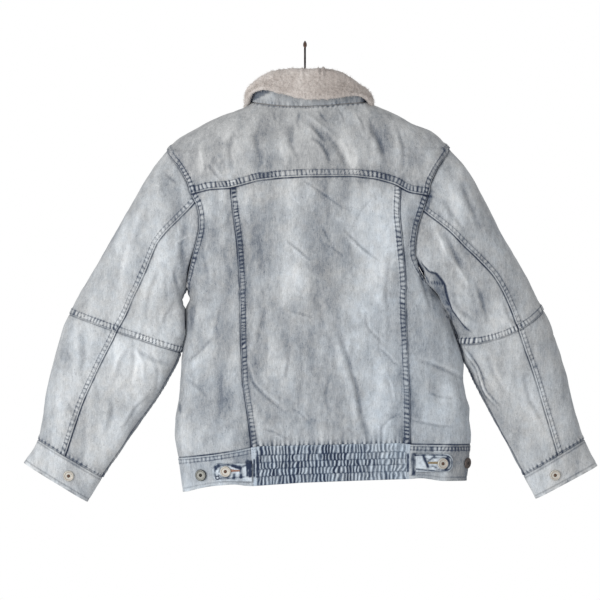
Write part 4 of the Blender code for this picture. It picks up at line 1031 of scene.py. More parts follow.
# the sleeves' creases, in the same columns, with painted shade and light
CREASES_SLEEVE = (
    (-1.3, 1.2, 0.12, 0.5, (164, 172), (170, 178), (177, 184)),
    (1.4, 1.2, -0.12, 0.4, (174, 246), (181, 240), (190, 235)),
    (-2.0, 2.2, 0.10, 0.6, (186, 224), (182, 244), (184, 268)),
    (-1.8, 1.8, 0.10, -0.6, (178, 262), (175, 276), (180, 292)),
    (-2.6, 3.2, 0.08, 0.6, (148, 196), (143, 222), (132, 250)),
    (-1.8, 2.4, 0.07, -0.6, (126, 236), (119, 262), (116, 292)),
    (-2.0, 2.4, 0.08, 0.6, (160, 268), (150, 292), (146, 318)),
    (-1.5, 1.6, 0.08, 0.5, (176, 300), (166, 316), (160, 332)),
    (-2.2, 2.0, 0.10, 0.6, (131, 342), (142, 354), (158, 362), (170, 364)),
    (-2.2, 2.0, 0.10, -0.6, (133, 344), (134, 362), (130, 384)),
    (-2.0, 2.0, 0.09, 0.6, (131, 345), (121, 362), (114, 384)),
    (1.8, 2.0, -0.10, 0.5, (136, 347), (143, 366), (143, 386)),
    (-1.6, 1.6, 0.10, -0.5, (150, 350), (158, 372), (156, 392)),
    (-2.0, 2.4, 0.08, 0.6, (112, 402), (110, 420), (104, 440)),
    (-1.6, 1.8, 0.08, 0.6, (150, 396), (136, 408), (122, 432)),
    (2.4, 2.2, -0.12, 0.5, (436, 231), (441, 242), (447, 257)),
    (-2.6, 2.8, 0.12, -0.6, (444, 232), (453, 250), (462, 270)),
    (2.2, 2.2, -0.10, 0.5, (451, 259), (459, 270), (469, 286)),
    (-1.8, 2.0, 0.10, 0.6, (476, 282), (482, 300), (488, 322)),
    (-2.2, 2.6, 0.08, -0.6, (460, 176), (470, 204), (481, 232)),
    (-1.6, 2.0, 0.08, 0.6, (441, 196), (452, 214), (466, 232)),
    (-1.8, 2.0, 0.10, 0.6, (452, 300), (462, 312), (478, 322)),
    (-2.2, 2.2, 0.10, 0.6, (468, 350), (480, 372), (496, 402)),
    (-1.8, 2.0, 0.09, -0.6, (486, 350), (492, 372), (506, 396)),
    (-1.6, 2.0, 0.09, 0.6, (504, 300), (510, 318), (522, 330)),
    (-2.0, 2.4, 0.08, 0.6, (80, 330), (84, 356), (78, 380)),
    (-2.0, 2.0, 0.08, 0.6, (66, 400), (76, 420), (72, 440)),
    (-2.0, 2.2, 0.08, 0.6, (524, 372), (530, 400), (546, 426)),
    (-1.0, 0.7, 0.50, 0.0, (450, 309.6), (450.8, 321), (456.2, 336.4), (462, 349.8), (465.8, 363)),
    (-0.4, 0.7, 0.36, 0.0, (445.3, 302.5), (449.6, 306)), (-0.4, 0.7, 0.36, 0.0, (445.3, 309), (449.6, 312)), (-0.4, 0.7, 0.32, 0.0, (446, 315.4), (449.8, 318)),
    (-0.3, 0.6, 0.44, 0.0, (428.0, 280.4), (429.2, 284.8)), (-0.3, 0.6, 0.44, 0.0, (430.7, 280.7), (431.9, 285.1)), (-0.3, 0.6, 0.44, 0.0, (433.4, 281.0), (434.6, 285.4)), (-0.3, 0.6, 0.44, 0.0, (436.1, 281.3), (437.3, 285.7)), (-0.3, 0.6, 0.44, 0.0, (438.8, 281.6), (440.0, 286.0)), (-0.3, 0.6, 0.44, 0.0, (441.5, 281.9), (442.7, 286.3)),
    (0.3, 2.1, 0.30, 0.0, (431.6, 188), (430.4, 198), (428.2, 206), (425.4, 215)), (-0.4, 0.9, 0.30, 0.0, (423.5, 195.6), (429, 196.6), (435, 197.2)),
    (-0.6, 1.0, 0.38, 0.0, (438, 274.5), (444.5, 284), (446.5, 294), (449, 303)), (0.0, 0.9, 0.50, 0.0, (417.2, 256), (419, 266), (423, 274), (429, 283)),
    (-1.1, 0.75, 0.40, 0.0, (464, 347.5), (467.7, 351.7), (474.4, 361.2), (479.2, 368.9), (482.3, 378.5), (485.1, 388), (489, 394.7), (495.5, 401.4), (504, 410)),
    (-0.8, 0.7, 0.30, 0.0, (461.5, 350), (465, 353.8), (471.6, 363.2), (476.4, 371.2), (479.4, 380.2), (482.2, 390), (486, 397), (492.4, 404), (500, 412)),
    (0.8, 0.8, -0.12, 0.0, (466.3, 352.8), (473, 362.2), (477.8, 370), (480.9, 379.4), (483.7, 389), (487.5, 395.8), (494, 402.7)),
)
# the fronts, seen from behind through the cloth
CREASES_FRONT = (
    (-2.4, 2.2, 0.12, 0.6, (240, 150), (250, 190), (244, 230)),
    (-1.9, 1.3, 0.12, 0.6, (352, 300), (366, 312), (380, 330)),
    (-1.9, 1.3, 0.12, -0.6, (262, 300), (246, 316), (232, 330)),
    (-2.6, 2.6, 0.10, 0.6, (360, 180), (372, 214), (366, 250)),
    (-2.2, 2.0, 0.10, -0.6, (276, 360), (268, 390), (276, 430)),
    (-2.2, 2.0, 0.10, 0.6, (340, 352), (350, 384), (346, 430)),
    (-1.6, 1.4, 0.12, 0.5, (420, 300), (406, 316), (398, 340)),
    (-1.6, 1.4, 0.12, -0.5, (206, 300), (218, 318), (222, 344)),
    (-1.8, 1.6, 0.10, 0.5, (386, 250), (394, 272), (388, 296)),
    (-1.8, 1.6, 0.10, 0.5, (230, 240), (222, 262), (232, 290)),
    (-1.6, 1.5, 0.10, 0.5, (436, 380), (424, 404), (430, 436)),
    (-1.6, 1.5, 0.10, 0.5, (196, 380), (206, 404), (198, 436)),
)
# centre, half width, half height, turn in degrees, darkening (painted shade and light, with bleach patches)
PATCHES = (
    (374, 232, 30, 62, -6, -0.20), (362, 300, 20, 45, 8, -0.10), (292, 256, 13, 66, 3, -0.09), (291, 196, 12, 18, 0, -0.05),
    (264, 226, 18, 52, 4, 0.10), (322, 252, 13, 72, -10, 0.09), (345, 196, 10, 30, 10, 0.02), (300, 330, 24, 42, 0, 0.05),
    (212, 252, 13, 60, 0, 0.05), (203, 208, 6, 16, -30, -0.10), (228, 268, 10, 40, 0, 0.07),
    (258, 262, 14, 18, 0, 0.03), (254, 366, 14, 30, 12, 0.09), (271, 416, 8, 13, -10, 0.10), (256, 421, 5.5, 18, -14, -0.08), (273, 368, 11, 22, 8, -0.06), (309, 392, 7, 24, -8, -0.06), (247, 320, 6, 40, 0, 0.06),
    (327, 378, 14, 46, -8, 0.055), (300, 396, 30, 34, 0, 0.04), (377, 400, 20, 40, 0, -0.12), (374, 418, 18, 20, 0, -0.06), (368, 352, 26, 26, 0, -0.06), (390, 300, 12, 60, 0, 0.00),
    (424, 330, 12, 56, 0, 0.03), (446, 404, 18, 26, 0, -0.12), (414, 400, 9, 36, 0, 0.08), (430, 240, 8, 36, 0, -0.02),
    (200, 366, 17, 24, 20, -0.06), (208, 392, 14, 40, 0, 0.06), (222, 372, 11, 70, -3, 0.045), (243, 202, 5.5, 14, 0, -0.09), (192, 318, 5, 16, 12, 0.09), (226, 388, 9, 40, -6, 0.07), (229, 417, 6, 9, 20, -0.08), (179.6, 408, 2.0, 7, 0, 0.24), (189, 320, 6, 22, 14, 0.13), (226, 330, 9, 30, -8, 0.07), (206, 322, 9, 22, -12, -0.06),
    (196, 430, 14, 18, 0, -0.03), (404, 434, 7, 12, 0, 0.14), (250, 436, 8, 12, 0, 0.12),
    (283, 150, 9, 20, 0, -0.05), (291, 129, 7, 14, -10, 0.06), (262, 160, 26, 12, 0, 0.05), (348, 150, 10, 24, -14, -0.14), (310, 118, 44, 7, 0, 0.05), (322, 138, 14, 22, -20, 0.09), (382, 140, 10, 26, -18, 0.09),
    (414, 150, 16, 20, 0, 0.07), (262, 136, 12, 26, 0, 0.05), (218, 150, 24, 20, 0, 0.07), (201, 158, 5, 18, 0, -0.12),
    (432, 160, 8, 12, 0, -0.04), (265, 162, 28, 10, 0, 0.05), (208, 336, 20, 24, 0, 0.055), (214, 398, 17, 34, 0, 0.06), (416, 237, 11, 26, 0, 0.075), (376, 256, 15, 40, 0, 0.035), (350, 362, 20, 24, 0, -0.04), (306, 102.5, 40, 3.2, 0, 0.07), (238, 158, 7, 18, 0, -0.07), (390, 196, 10, 10, 0, 0.02), (366, 160, 22, 9, 0, -0.06), (429, 202, 3.2, 12, -10, 0.14), (438, 292, 7, 9, 0, 0.10),
)
# the sleeves' patches in the same columns: painted shade and light, with bleach patches
PATCHES_SLEEVE = (
    (134, 366, 32, 50, 20, -0.15), (126, 246, 15, 48, 25, -0.17), (172, 196, 10, 26, -20, 0.10), (150, 200, 12, 30, 20, -0.04),
    (158, 272, 13, 44, 16, -0.14), (184, 252, 6, 36, 0, 0.08), (178, 214, 8, 14, 0, 0.08), (118, 300, 10, 30, 10, -0.06),
    (112, 440, 16, 30, 20, -0.10), (168, 330, 12, 16, 0, -0.06), (140, 330, 14, 9, 0, -0.02),
    (446, 190, 9, 30, -22, -0.12), (463, 252, 12, 24, -32, 0.13), (436, 240, 9, 22, -14, -0.07), (456, 276, 8, 22, -30, -0.04),
    (478, 208, 10, 40, -28, 0.08), (482, 306, 12, 20, -20, 0.04), (484, 380, 14, 34, -28, -0.10), (468, 340, 10, 10, 0, 0.04),
    (438, 292, 6, 8, 0, 0.10), (472, 376, 4.5, 36, -30, 0.15), (490, 366, 8, 24, -28, -0.05),
    (461, 214, 12, 17, -30, -0.10), (457, 270, 13, 21, -25, 0.075), (70, 400, 24, 44, 20, -0.12), (540, 420, 24, 44, -20, -0.08), (520, 330, 18, 30, -20, -0.04), (84, 330, 16, 30, 20, -0.06),
)


def cloth_field(p, n, kind):
    """Height, tone and warmth of plain cloth before its seams."""
    u, v = picture(p)
    ny = n[..., 1]
    back, front = step(0.02, 0.38, ny), step(0.02, 0.38, -ny)
    um = u if kind == "sleeve" else 2 * X0 - u
    big = cloudy(p, (70, 70, 110), 5, 2)
    mid = cloudy(p, (26, 26, 44), 6, 2)
    fine = noise(p, (9, 9, 15), 7)
    net = (1 - np.abs(noise(p + 6 * mid[..., None], (46, 46, 62), 8))) ** 7
    net2 = (1 - np.abs(noise(p + 4 * big[..., None], (24, 24, 34), 9))) ** 8
    height = 1.5 * big + 0.75 * mid + 0.16 * fine - 0.55 * net - 0.35 * net2
    # painted shade in the troughs of the crumple net
    tone = 0.40 + 0.035 * net + 0.03 * net2
    # creases: painted shade along their troughs and painted light on their ridges
    for rows, amount, uu in (((CREASES_SLEEVE if kind == "sleeve" else CREASES_BODY), back, u),
                             ((CREASES_SLEEVE if kind == "sleeve" else CREASES_FRONT), front, um)):
        if amount.max() <= 0:
            continue
        for row in rows:
            h, t = stroke(uu, v, row[4:], row[1], row[0], row[2], lee=row[3])
            height = height + h * amount
            tone = tone + t * amount
    warp = 0.9 * cloudy(p, (22, 22, 40), 31, 3)
    # painted shade and light in patches, with bleach patches, mirrored onto the front
    lot = PATCHES_SLEEVE if kind == "sleeve" else PATCHES
    side = step(-0.4, 0.4, ny)
    here = sum(blob(u, v, *row, warp) for row in lot)
    there = here if kind == "sleeve" else sum(blob(2 * X0 - u + 6, v, *row, warp) for row in lot)
    tone = tone + side * here + (1 - side) * there
    streak = cloudy(p, (11, 11, 95), 41, 3)
    grey = cloudy(p, (30, 30, 75), 43, 3)
    spots = cloudy(p, (5, 5, 9), 47, 2)
    blots = cloudy(p, (13, 13, 24), 59, 3)
    # acid-wash streaks, greys, spots and blots; painted shade in the hollows and a little painted light on what stands
    # out
    tone = tone + 0.055 * streak + 0.065 * grey + 0.03 * spots + 0.05 * blots * (kind != "sleeve") - 0.02 * np.clip(height, -3, 3)
    # bluer below; the warmer yoke is a painted warm shade
    across = np.where(ny > 0, u, 2 * X0 - u)
    warm = 0.97 - 0.40 * step(165, 210, v) - 0.16 * step(300, 400, v) - 0.30 * step(320, 380, across) * step(190, 230, v)
    if kind == "sleeve":
        tone = tone - 0.03
        warm = 0.62 + 0 * u
    warm = warm + 0.22 * cloudy(p, (60, 60, 60), 53, 2)
    return height, tone, warm


FLAT, SPAN = {}, {}


def piece(name, base, outward, kind, seams, thick=DENIM, wrap=False, extra=None, calm=1.0, gap=5, cool=None):
    normal = normals_of(base, outward)
    if wrap:
        pad = np.concatenate([base[:, -3:], base, base[:, :3]], axis=1)
        normal = normals_of(pad, np.concatenate([outward[:, -3:], outward, outward[:, :3]], axis=1))[:, 3:-3]
    height, tone, warm = cloth_field(base, normal, kind)
    height = height * calm
    for seam in seams:
        h, t = seam.field(base, normal)
        height, tone = height + h, tone + t
    if extra is not None:
        height, tone = extra(base, normal, height, tone)
    if cool is not None:
        warm = cool(base, warm)
    FLAT[name], SPAN[name] = flat_area(base), spans(base, wrap)
    obj = shell("look_" + name, base, normal, height, np.clip(tone, 0, 1), (DENIM_MAT, LINING_MAT), thick, wrap=wrap,
                warm=warm, back=height * 0.6, inner_gap=gap)
    return obj


def away(base, axis_x=-10.0):
    out = base - np.array([axis_x, 0, 0])
    out = out * np.array([0.25, 1.0, 0.0])
    return out


def torso_grid(ql, qr, top, low, face, u, v, guess=(215, 640)):
    """Rows down and columns across between two lengthwise lines and two seams."""
    q = (1 - u)[None, :] * ql(v)[:, None] + u[None, :] * qr(v)[:, None]
    d0 = drop_on(q[0], face, top, guess[0], 4.0)
    d1 = drop_on(q[-1], face, low, guess[1], 6.0)
    drop = d0[None, :] + (d1 - d0)[None, :] * v[:, None]
    return torso(q, drop, face)


def constant(value):
    return lambda v: np.full(len(v), float(value))


def build_panels():
    rows = spaced(420, True, True)
    base = torso_grid(constant(1), lambda v: lengthwise(QL_LINE, v), YOKE_SEAM, WAIST_SEAM, 1, spaced(92, True, True, 13), rows)
    piece("back_side_L", base, away(base), "body", (SEAM_YOKE, SEAM_BACK_L, SEAM_ARM[1], SEAM_WAIST))
    base = torso_grid(lambda v: lengthwise(QL_LINE, v), lambda v: lengthwise(QR_LINE, v), YOKE_SEAM, WAIST_SEAM, 1,
                      spaced(262, True, True, 13), rows)
    piece("back_center", base, away(base), "body", (SEAM_YOKE, SEAM_BACK_L, SEAM_BACK_R), extra=gathers)
    base = torso_grid(lambda v: lengthwise(QR_LINE, v), constant(-1), YOKE_SEAM, WAIST_SEAM, 1, spaced(92, True, True, 13), rows)
    piece("back_side_R", base, away(base), "body", (SEAM_YOKE, SEAM_BACK_R, SEAM_ARM[-1], SEAM_WAIST))
    # yoke
    u = spaced(450, True, True, 12, coarse=1.7)
    v = spaced(135, True, True, 18, coarse=1.7)
    q = 1 - 2 * u
    d0, d1 = drop_on(q, 1, NECK_BACK, 98, 2.0), drop_on(q, 1, YOKE_SEAM, 215, 4.0)
    base = torso(q[None, :], d0[None, :] + (d1 - d0)[None, :] * v[:, None], 1)
    piece("back_yoke", base, away(base) + np.array([0, 0, 20.0]), "body", (SEAM_YOKE, SEAM_ARM[1], SEAM_ARM[-1], SEAM_NECK))
    # fronts
    for name, side in (("front_L", 1), ("front_R", -1)):
        u, v = spaced(230, True, True, 8, coarse=3.0), spaced(550, False, True, 10, coarse=3.0)
        x0 = front_x(side)
        line = FRONT_Q[side]
        xt = (83.0 if side > 0 else -96.0) * (1 - u) + x0 * u
        d0 = read(NECK_FRONT, xt, 1, 2)
        q0 = q_at(xt, d0, -1)
        q0[0] = side
        q1 = side * (1 - u) + line[-1] * u
        d1 = drop_on(q1, -1, WAIST_SEAM, 640)
        b0 = side * (1 - u) + line[0] * u
        keep = step(0.0, 0.22, u)[None, :]                  # columns by the armhole stay close together
        fade = keep * ((1 - v) ** 3)[:, None] + (1 - keep) * ((1 - v) ** 40)[:, None]
        q = side * (1 - u)[None, :] + np.interp(v, V_LINE, line)[:, None] * u[None, :] + (q0 - b0)[None, :] * fade
        base = torso(q, d0[None, :] + (d1 - d0)[None, :] * v[:, None], -1)
        piece(name, base, away(base), "body", (SEAM_ARM[side], SEAM_WAIST))


def build_placket():
    v = spaced(480, True, True, 4, coarse=2.2)
    off = np.linspace(PLACKET_HALF, -PLACKET_HALF, 27) * 0.985
    x_top = float(read(FRONT_LINE, 160))
    x_low = float(read(FRONT_LINE, 632))
    top = read(NECK_FRONT, x_top + off)
    low = read(WAIST_SEAM, x_low + off)
    drop = top[None, :] + (low - top)[None, :] * v[:, None]
    x = read(FRONT_LINE, drop) + off[None, :]
    base = np.zeros(x.shape + (3,))
    for r in range(len(v)):
        q = np.interp(x[r], torso(TRIES, drop[r].mean(), -1)[:, 0], TRIES)
        base[r] = torso(q, drop[r], -1)

    def trim(p, n, height, tone):
        a = np.abs(off)[None, :] + 0 * height
        wave = np.cos(2 * np.pi * (v[:, None] * 480 / 9.0 + 0.5 * line_noise(v * 480, 25, 7)[:, None]))
        edge = bell(a - 19, 3.2)
        height = height + 1.6 + 0.35 * wave * edge - 0.45 * bell(a - 17, 0.9) - 0.45 * bell(a - 10.5, 0.9)
        tone = tone + 0.22 * bell(a - 17, 1.0) + 0.2 * bell(a - 10.5, 1.0) + edge * (0.2 - 0.18 * wave)
        return height, tone
    piece("placket", base, away(base), "body", (SEAM_WAIST,), thick=DENIM + 1, extra=trim, calm=0.5)


# ---------------------------------------------------------------- sleeves and cuffs
def s_samples(side, s0, s1, turn, fine0, fine1, coarse=2.3):
    s = np.linspace(s0, s1, 200)
    p = sleeve(side, s, turn)
    arc = np.concatenate([[0], np.cumsum(np.linalg.norm(np.diff(p, axis=0), axis=1))])
    share = spaced(arc[-1], fine0, fine1, 13, coarse=coarse)
    return np.interp(share * arc[-1], arc, s)


def turn_samples(side, s, t0, t1, coarse=2.3):
    t = np.linspace(t0, t1, 200)
    p = sleeve(side, s, t)
    arc = np.concatenate([[0], np.cumsum(np.linalg.norm(np.diff(p, axis=0), axis=1))])
    share = spaced(arc[-1], True, True, 12, coarse=coarse)
    return np.interp(share * arc[-1], arc, t)


def sleeve_out(side, s, base):
    centre = 0.5 * (sleeve(side, s, 0.0) + sleeve(side, s, 180.0))
    return base - centre[:, None, :]


def build_sleeves():
    for side, key in ((1, "L"), (-1, "R")):
        tb, tp = BACK_TURN[side], PIT_TURN[side]
        for part, s0, s1 in (("upper", 0.0, 5.0), ("lower", 5.0, 9.0)):
            for name, t0, t1, mid in (("top", tb, tp - 360, -60), ("under", tb, tp, 125)):
                s = s_samples(side, s0, s1, 60 if name == "top" else 120, True, True)
                share = (turn_samples(side, s0 + 1.2, t0, t1) - t0) / (t1 - t0)
                start = back_turn(side, s)[:, None]
                base = sleeve(side, s[:, None] + 0 * share[None, :], start + (t1 - start) * share[None, :])
                if part == "upper" and side < 0:          # the sleeve hangs over the body's edge below the armhole
                    turn = start + (t1 - start) * share[None, :]
                    low = step(0.0, 0.55, s)[:, None] * (1 - step(1.6, 3.6, s)[:, None])
                    base[..., 0] += 15.0 * low * bell(turn - 146, 26)
                    base[..., 1] += 5.0 * low * bell(turn - 150, 26)
                elif part == "upper":                     # and rests against its edge on the other side
                    bu, bv = picture(base)
                    low = step(166, 183, bu) * step(301, 311, bv) * (1 - step(331, 343, bv))
                    base[..., 0] -= 3.2 * low
                    base[..., 1] += 3.5 * low
                if side < 0:                              # its edge meets the body's down to the gap
                    bu, bv = picture(base)
                    low = (1 - step(474, 488, bu)) * step(334, 344, bv) * (1 - step(359, 369, bv))
                    base[..., 0] += 2.8 * low
                    base[..., 1] += 2.0 * low
                seams = [SEAM_SLEEVE[side], SEAM_PIT[side], SEAM_ELBOW[side]]
                if part == "lower":
                    seams.append(SEAM_CUFF[side])
                piece("sleeve_%s_%s_%s" % (part, name, key), base, sleeve_out(side, s, base), "sleeve", seams,
                      extra=arm_fold(side) if part == "upper" else None)
        # cuff
        s = s_samples(side, 9.0, 10.0, 60, True, True, 1.6)
        n = 190
        t = np.arange(n) * 360.0 / n
        base = sleeve(side, s[:, None] + 0 * t[None, :], t[None, :] + 0 * s[:, None])

        def trim(p, nn, height, tone, s=s):
            d0 = (s - 9.0)[:, None] * 40 + 0 * height
            d1 = 40 - d0
            height = height + 0.7 * step(0, 1.5, d0) - 0.45 * bell(d0 - 3, 0.9) - 0.45 * bell(d1 - 5, 0.9)
            wave = noise(p, (7, 7, 7), 77)
            edge = bell(d1, 3.0)
            tone = tone + 0.2 * bell(d0 - 3, 1.0) + 0.2 * bell(d1 - 5, 1.0) + edge * (0.05 - 0.25 * wave) - 0.06
            return height, tone
        piece("cuff_" + key, base, sleeve_out(side, s, base), "sleeve", (SEAM_CUFF[side],), thick=BAND, wrap=True, extra=trim, calm=0.6)


PIT_LINE = {-1: ((419.5, 258.5), (421.6, 263.5), (425.5, 268.2), (429.0, 272.0), (432.5, 272.8), (436, 273.6), (439.2, 277.8), (444.0, 283.1), (446.0, 292.3), (448.4, 300.7),
                 (452.2, 309.9), (459.0, 319.0), (464.4, 326.0), (470.5, 331.4), (474, 334)),
            1: ((185.6, 306), (185.4, 316), (185.6, 325), (187.0, 332.5), (188.4, 340))}


def arm_fold(side):
    """The sleeve head eases into the armhole seam, and its fold at the underarm lies over the body with a painted
    shadow line along its edge."""
    def extra(p, n, height, tone):
        s, arc = SEAM_ARM[side].place(p, n)
        d = np.abs(s)
        near = np.where(s > 900, 0, bell(d, 2.2))
        height = height - 0.6 * near
        wave = np.cos(2 * np.pi * (arc / 8.5 + 0.6 * line_noise(arc, 22, 61)))
        beside = np.where(s > 900, 0, bell(d - 4.5, 3.6)) * np.clip(0.6 + 0.8 * line_noise(arc, 30, 63), 0, 1.2)
        tone = tone + 0.30 * near + 0.045 * beside * (1 - wave)
        height = height + 0.25 * wave * beside
        u, v = picture(p)
        ny = n[..., 1]
        back = step(0.0, 0.25, ny)
        r, share = near_path(u, v, PIT_LINE[side], 16)
        fade = step(0, 0.12, share) * (1 - step(0.86, 1.0, share)) * back * (r < 900)
        if side < 0:
            over = step(-0.3, 0.8, -r) * bell(r, 7.5)
            under = step(0.2, 1.0, r) * bell(r, 9.0)
            height = height + fade * (3.2 * over - 1.6 * under - 2.2 * bell(r, 0.8))
            # painted shadow: a dark line under the overhanging fold, painted shade on the body below it, a little
            # painted light on the fold
            tone = tone + fade * (0.9 * bell(r, 0.85) + 0.14 * under - 0.03 * over)
        else:
            height = height - 1.6 * fade * bell(r, 0.8)
            # painted shadow line where the sleeve meets the body's edge
            tone = tone + fade * 0.8 * bell(r, 0.8)
        return height, tone
    return extra


# ---------------------------------------------------------------- waistband
ROWS = (0.0, 0.235, 0.42, 0.59, 0.775, 1.0)
# how dark the gathers' valleys are across the elastic, painted shade with the dye kept in the folds: place, amount
GATHER_DARK = ((250, 0.72), (262, 0.85), (272, 0.80), (279, 0.62), (286, 0.82), (292, 1.05), (298, 0.86), (305, 0.74),
               (314, 0.82), (320, 1.0), (334, 1.08), (345, 1.0), (351, 0.78), (362, 0.66), (374, 0.64), (390, 0.56), (404, 0.52), (412, 0.5))
SEAM_WAIST = Seam(WAIST_PTS, width=9.6, up=-1, pitch=6.4, lift=0.8, ladder=0.5, dark=0.36, light=0.12, fold=0.52,
                  blue=0.04, stitch=(3.4, 8.6), seed=181, strip=2.6, beside=0.5, thread=0.36,
                  along=((180, .25), (192, .4), (204, 1.2), (222, 1.1), (234, .5), (250, .6), (412, .9), (426, .8), (434, 1.4), (446, 1.2), (470, 1.0)))
ELASTIC_Q = np.linspace(QL_LINE[-1], QR_LINE[-1], 300)
ELASTIC_PTS = torso(ELASTIC_Q, drop_on(ELASTIC_Q, 1, WAIST_SEAM, 640), 1)
SEAM_ELASTIC = Seam(ELASTIC_PTS, width=4.5, up=-1, pitch=7.6, lift=0.5, ladder=0.6, dark=0.30, light=0.2, fold=0.40,
                    blue=0.05, stitch=(2.0,), seed=187, beside=0.4)


BARS = ((246.4, 248.4, 459.8, 476.0, 0.55), (249.2, 252.4, 460.4, 476.6, 0.66), (253.4, 255.2, 459.0, 476.6, 0.72), (256.4, 259.0, 456.6, 477.0, 0.70),
        (406.8, 408.7, 453.2, 471.5, 0.62), (411.2, 415.4, 452.6, 475.0, 0.46))


def bars(p, u, w):
    """The dark stitched bars where the elastic meets the side bands."""
    total = 0.0
    rough = np.clip(0.95 + 0.45 * noise(p, (4, 4, 5), 91), 0.4, 1.2)
    for x0, x1, y0, y1, amount in BARS:
        total = total + amount * rough * step(x0 - 0.5, x0 + 0.5, u) * (1 - step(x1 - 0.5, x1 + 0.5, u)) \
            * step(y0 - 1.2, y0 + 1.2, w) * (1 - step(y1 - 1.2, y1 + 1.2, w))
    return total


def band_grid(parts, gap_u, gap_v):
    q, face = band_path(parts, gap_u)
    d0, d1 = np.zeros(len(q)), np.zeros(len(q))
    for f in (1.0, -1.0):
        m = face == f
        if m.any():
            d0[m] = drop_on(q[m], f, WAIST_SEAM, 640)
            d1[m] = drop_on(q[m], f, HEM, 690)
    v = np.linspace(0, 1, int(58 / gap_v))
    drop = d0[None, :] + (d1 - d0)[None, :] * v[:, None]
    return torso(q[None, :], drop, face[None, :]), v, q, face


def shirred(v):
    def extra(p, n, height, tone):
        u, w = picture(p)
        a = -p[..., 0]
        height = height * 0.35
        tone = 0.32 + 0.0 * tone
        depth = np.interp(u, column(GATHER_DARK, 0), column(GATHER_DARK, 1))
        ends = step(255, 258, u) * (1 - step(405.5, 407.5, u))
        wobble = 0.30 * noise(p, (9, 9, 7), 351)
        for r in range(5):
            lo, hi = ROWS[r], ROWS[r + 1]
            local = np.clip((v - lo) / (hi - lo), 0, 1)[:, None] + 0 * a
            here = ((v >= lo) & (v < hi + (r == 4)))[:, None] + 0 * a
            env = np.clip(np.sin(np.pi * local), 0, 1) ** 0.45
            lean = 0.55 * line_noise(a, 14.0, 301 + r)
            phase = a / 6.0 + (0.0, 0.30, 0.06, 0.38, 0.12)[r] + 1.0 * line_noise(a, 23.0, 311) + 0.50 * line_noise(a, 15.0, 315 + r) \
                + lean * (local - 0.5) + wobble
            wave = 0.5 + 0.5 * np.cos(2 * np.pi * phase)
            wide = 1.6 + 1.1 * line_noise(a, 9.0, 361 + r)                       # how thin the pale ridges are
            ridge = wave ** np.clip(wide, 0.7, 3.2)
            rowdark = depth * np.clip(0.86 + 0.55 * line_noise(a, 10.0, 331 + r), 0.35, 1.3)
            each = line_noise(np.floor(phase + 0.5) * 7.3 + 13 * r, 1.0, 341 + r)
            soft = 0.5 + 0.5 * line_noise(np.floor(phase) * 5.1 + 17 * r, 1.0, 371 + r)
            h = (2.7 * ridge - 1.0) * env
            # painted shade in the valleys between gathers, with the dye kept there, and paler ridges
            t = (1 - ridge) ** 1.2 * rowdark * (0.50 + 0.46 * soft) + ridge * (-0.08 + 0.30 * np.clip(each, 0, 1) * depth)
            t = t * (0.6 + 0.4 * env) + 0.24 * (1 - env) * rowdark + 0.10 * noise(p, (3, 3, 9), 381 + r)
            height = height + here * h * ends
            tone = tone + here * t * ends
        for r in range(1, 5):
            g = bell((v - ROWS[r]) * 62, 0.9)[:, None]
            height = height - 0.9 * g * ends
            tone = tone + 0.16 * g * ends
        top, low = bell(v * 62, 2.2)[:, None], bell((1 - v) * 62, 2.0)[:, None]
        tone = tone - 0.10 * top + 0.05 * low
        tone = np.maximum(tone, np.minimum(tone + bars(p, u, w), 0.95))
        return height, tone
    return extra


def side_band(v):
    """Plain waistband: hem fold, the tabs' ground and the dark bars at the elastic."""
    def extra(p, n, height, tone):
        u, w = picture(p)
        back = step(0.05, 0.3, n[..., 1])
        low = ((1 - v) * 58)[:, None] + 0 * u
        height = 0.55 * height
        hem = bell(low - 6.0, 0.9)
        wave = noise(p, (8, 8, 8), 88)
        height = height - 0.5 * hem + 0.35 * wave * bell(low, 4)
        tone = tone - 0.07 + 0.16 * hem + bell(low, 2.0) * (0.06 - 0.22 * wave)
        tone = tone + back * (0.10 * (1 - step(215, 262, u)) * (1 - bell(low, 14)) + 0.20 * step(438, 458, u) + 0.06 * step(405, 420, u))
        mark = back * bars(p, u, w)
        tone, height = tone + mark, height + 0.8 * mark
        tone = tone + 0.10 * back * (blob(u, w, 244, 462, 12, 7, -20, 1, 0 * u) + blob(u, w, 236, 455, 20, 5, -8, 1, 0 * u))
        return height, tone
    return extra


def gathers(p, n, height, tone):
    """The centre back panel flares out of the elastic, with painted shade in the valleys of its folds and painted light
    on their crests.
    """
    s, arc = SEAM_ELASTIC.place(p, n, 40.0)
    x = np.where(s > 900, 99.0, s)
    a = arc
    reach = 12.0 + 7.0 * line_noise(a, 9.0, 401)
    wave = np.cos(2 * np.pi * (a / 12.5 + 0.8 * line_noise(a, 24, 403)))
    second = np.cos(2 * np.pi * (a / 7.4 + 0.7 * line_noise(a, 17, 405)))
    fall = np.where(s > 900, 0, np.exp(-np.clip(x, 0, 99) / np.clip(reach, 5, 30)))
    small = np.where(s > 900, 0, np.exp(-np.clip(x, 0, 99) / 4.5))
    height = height + 1.9 * wave * fall + 0.9 * second * small
    # painted shade in the folds' valleys, painted light on their crests
    tone = tone + fall * (0.10 * (0.5 - 0.5 * wave) - 0.05) + small * (0.60 * (0.5 - 0.5 * second) ** 2 - 0.12)
    return height, tone


def band_cast(p, warm):
    """The left band is bluish, the right one a greyer green."""
    u, v = picture(p)
    return np.where(u < 300, -0.15 + 0.3 * warm, 0.15 + 0.75 * step(440, 456, u)) + 0.15 * cloudy(p, (20, 20, 20), 59, 2)


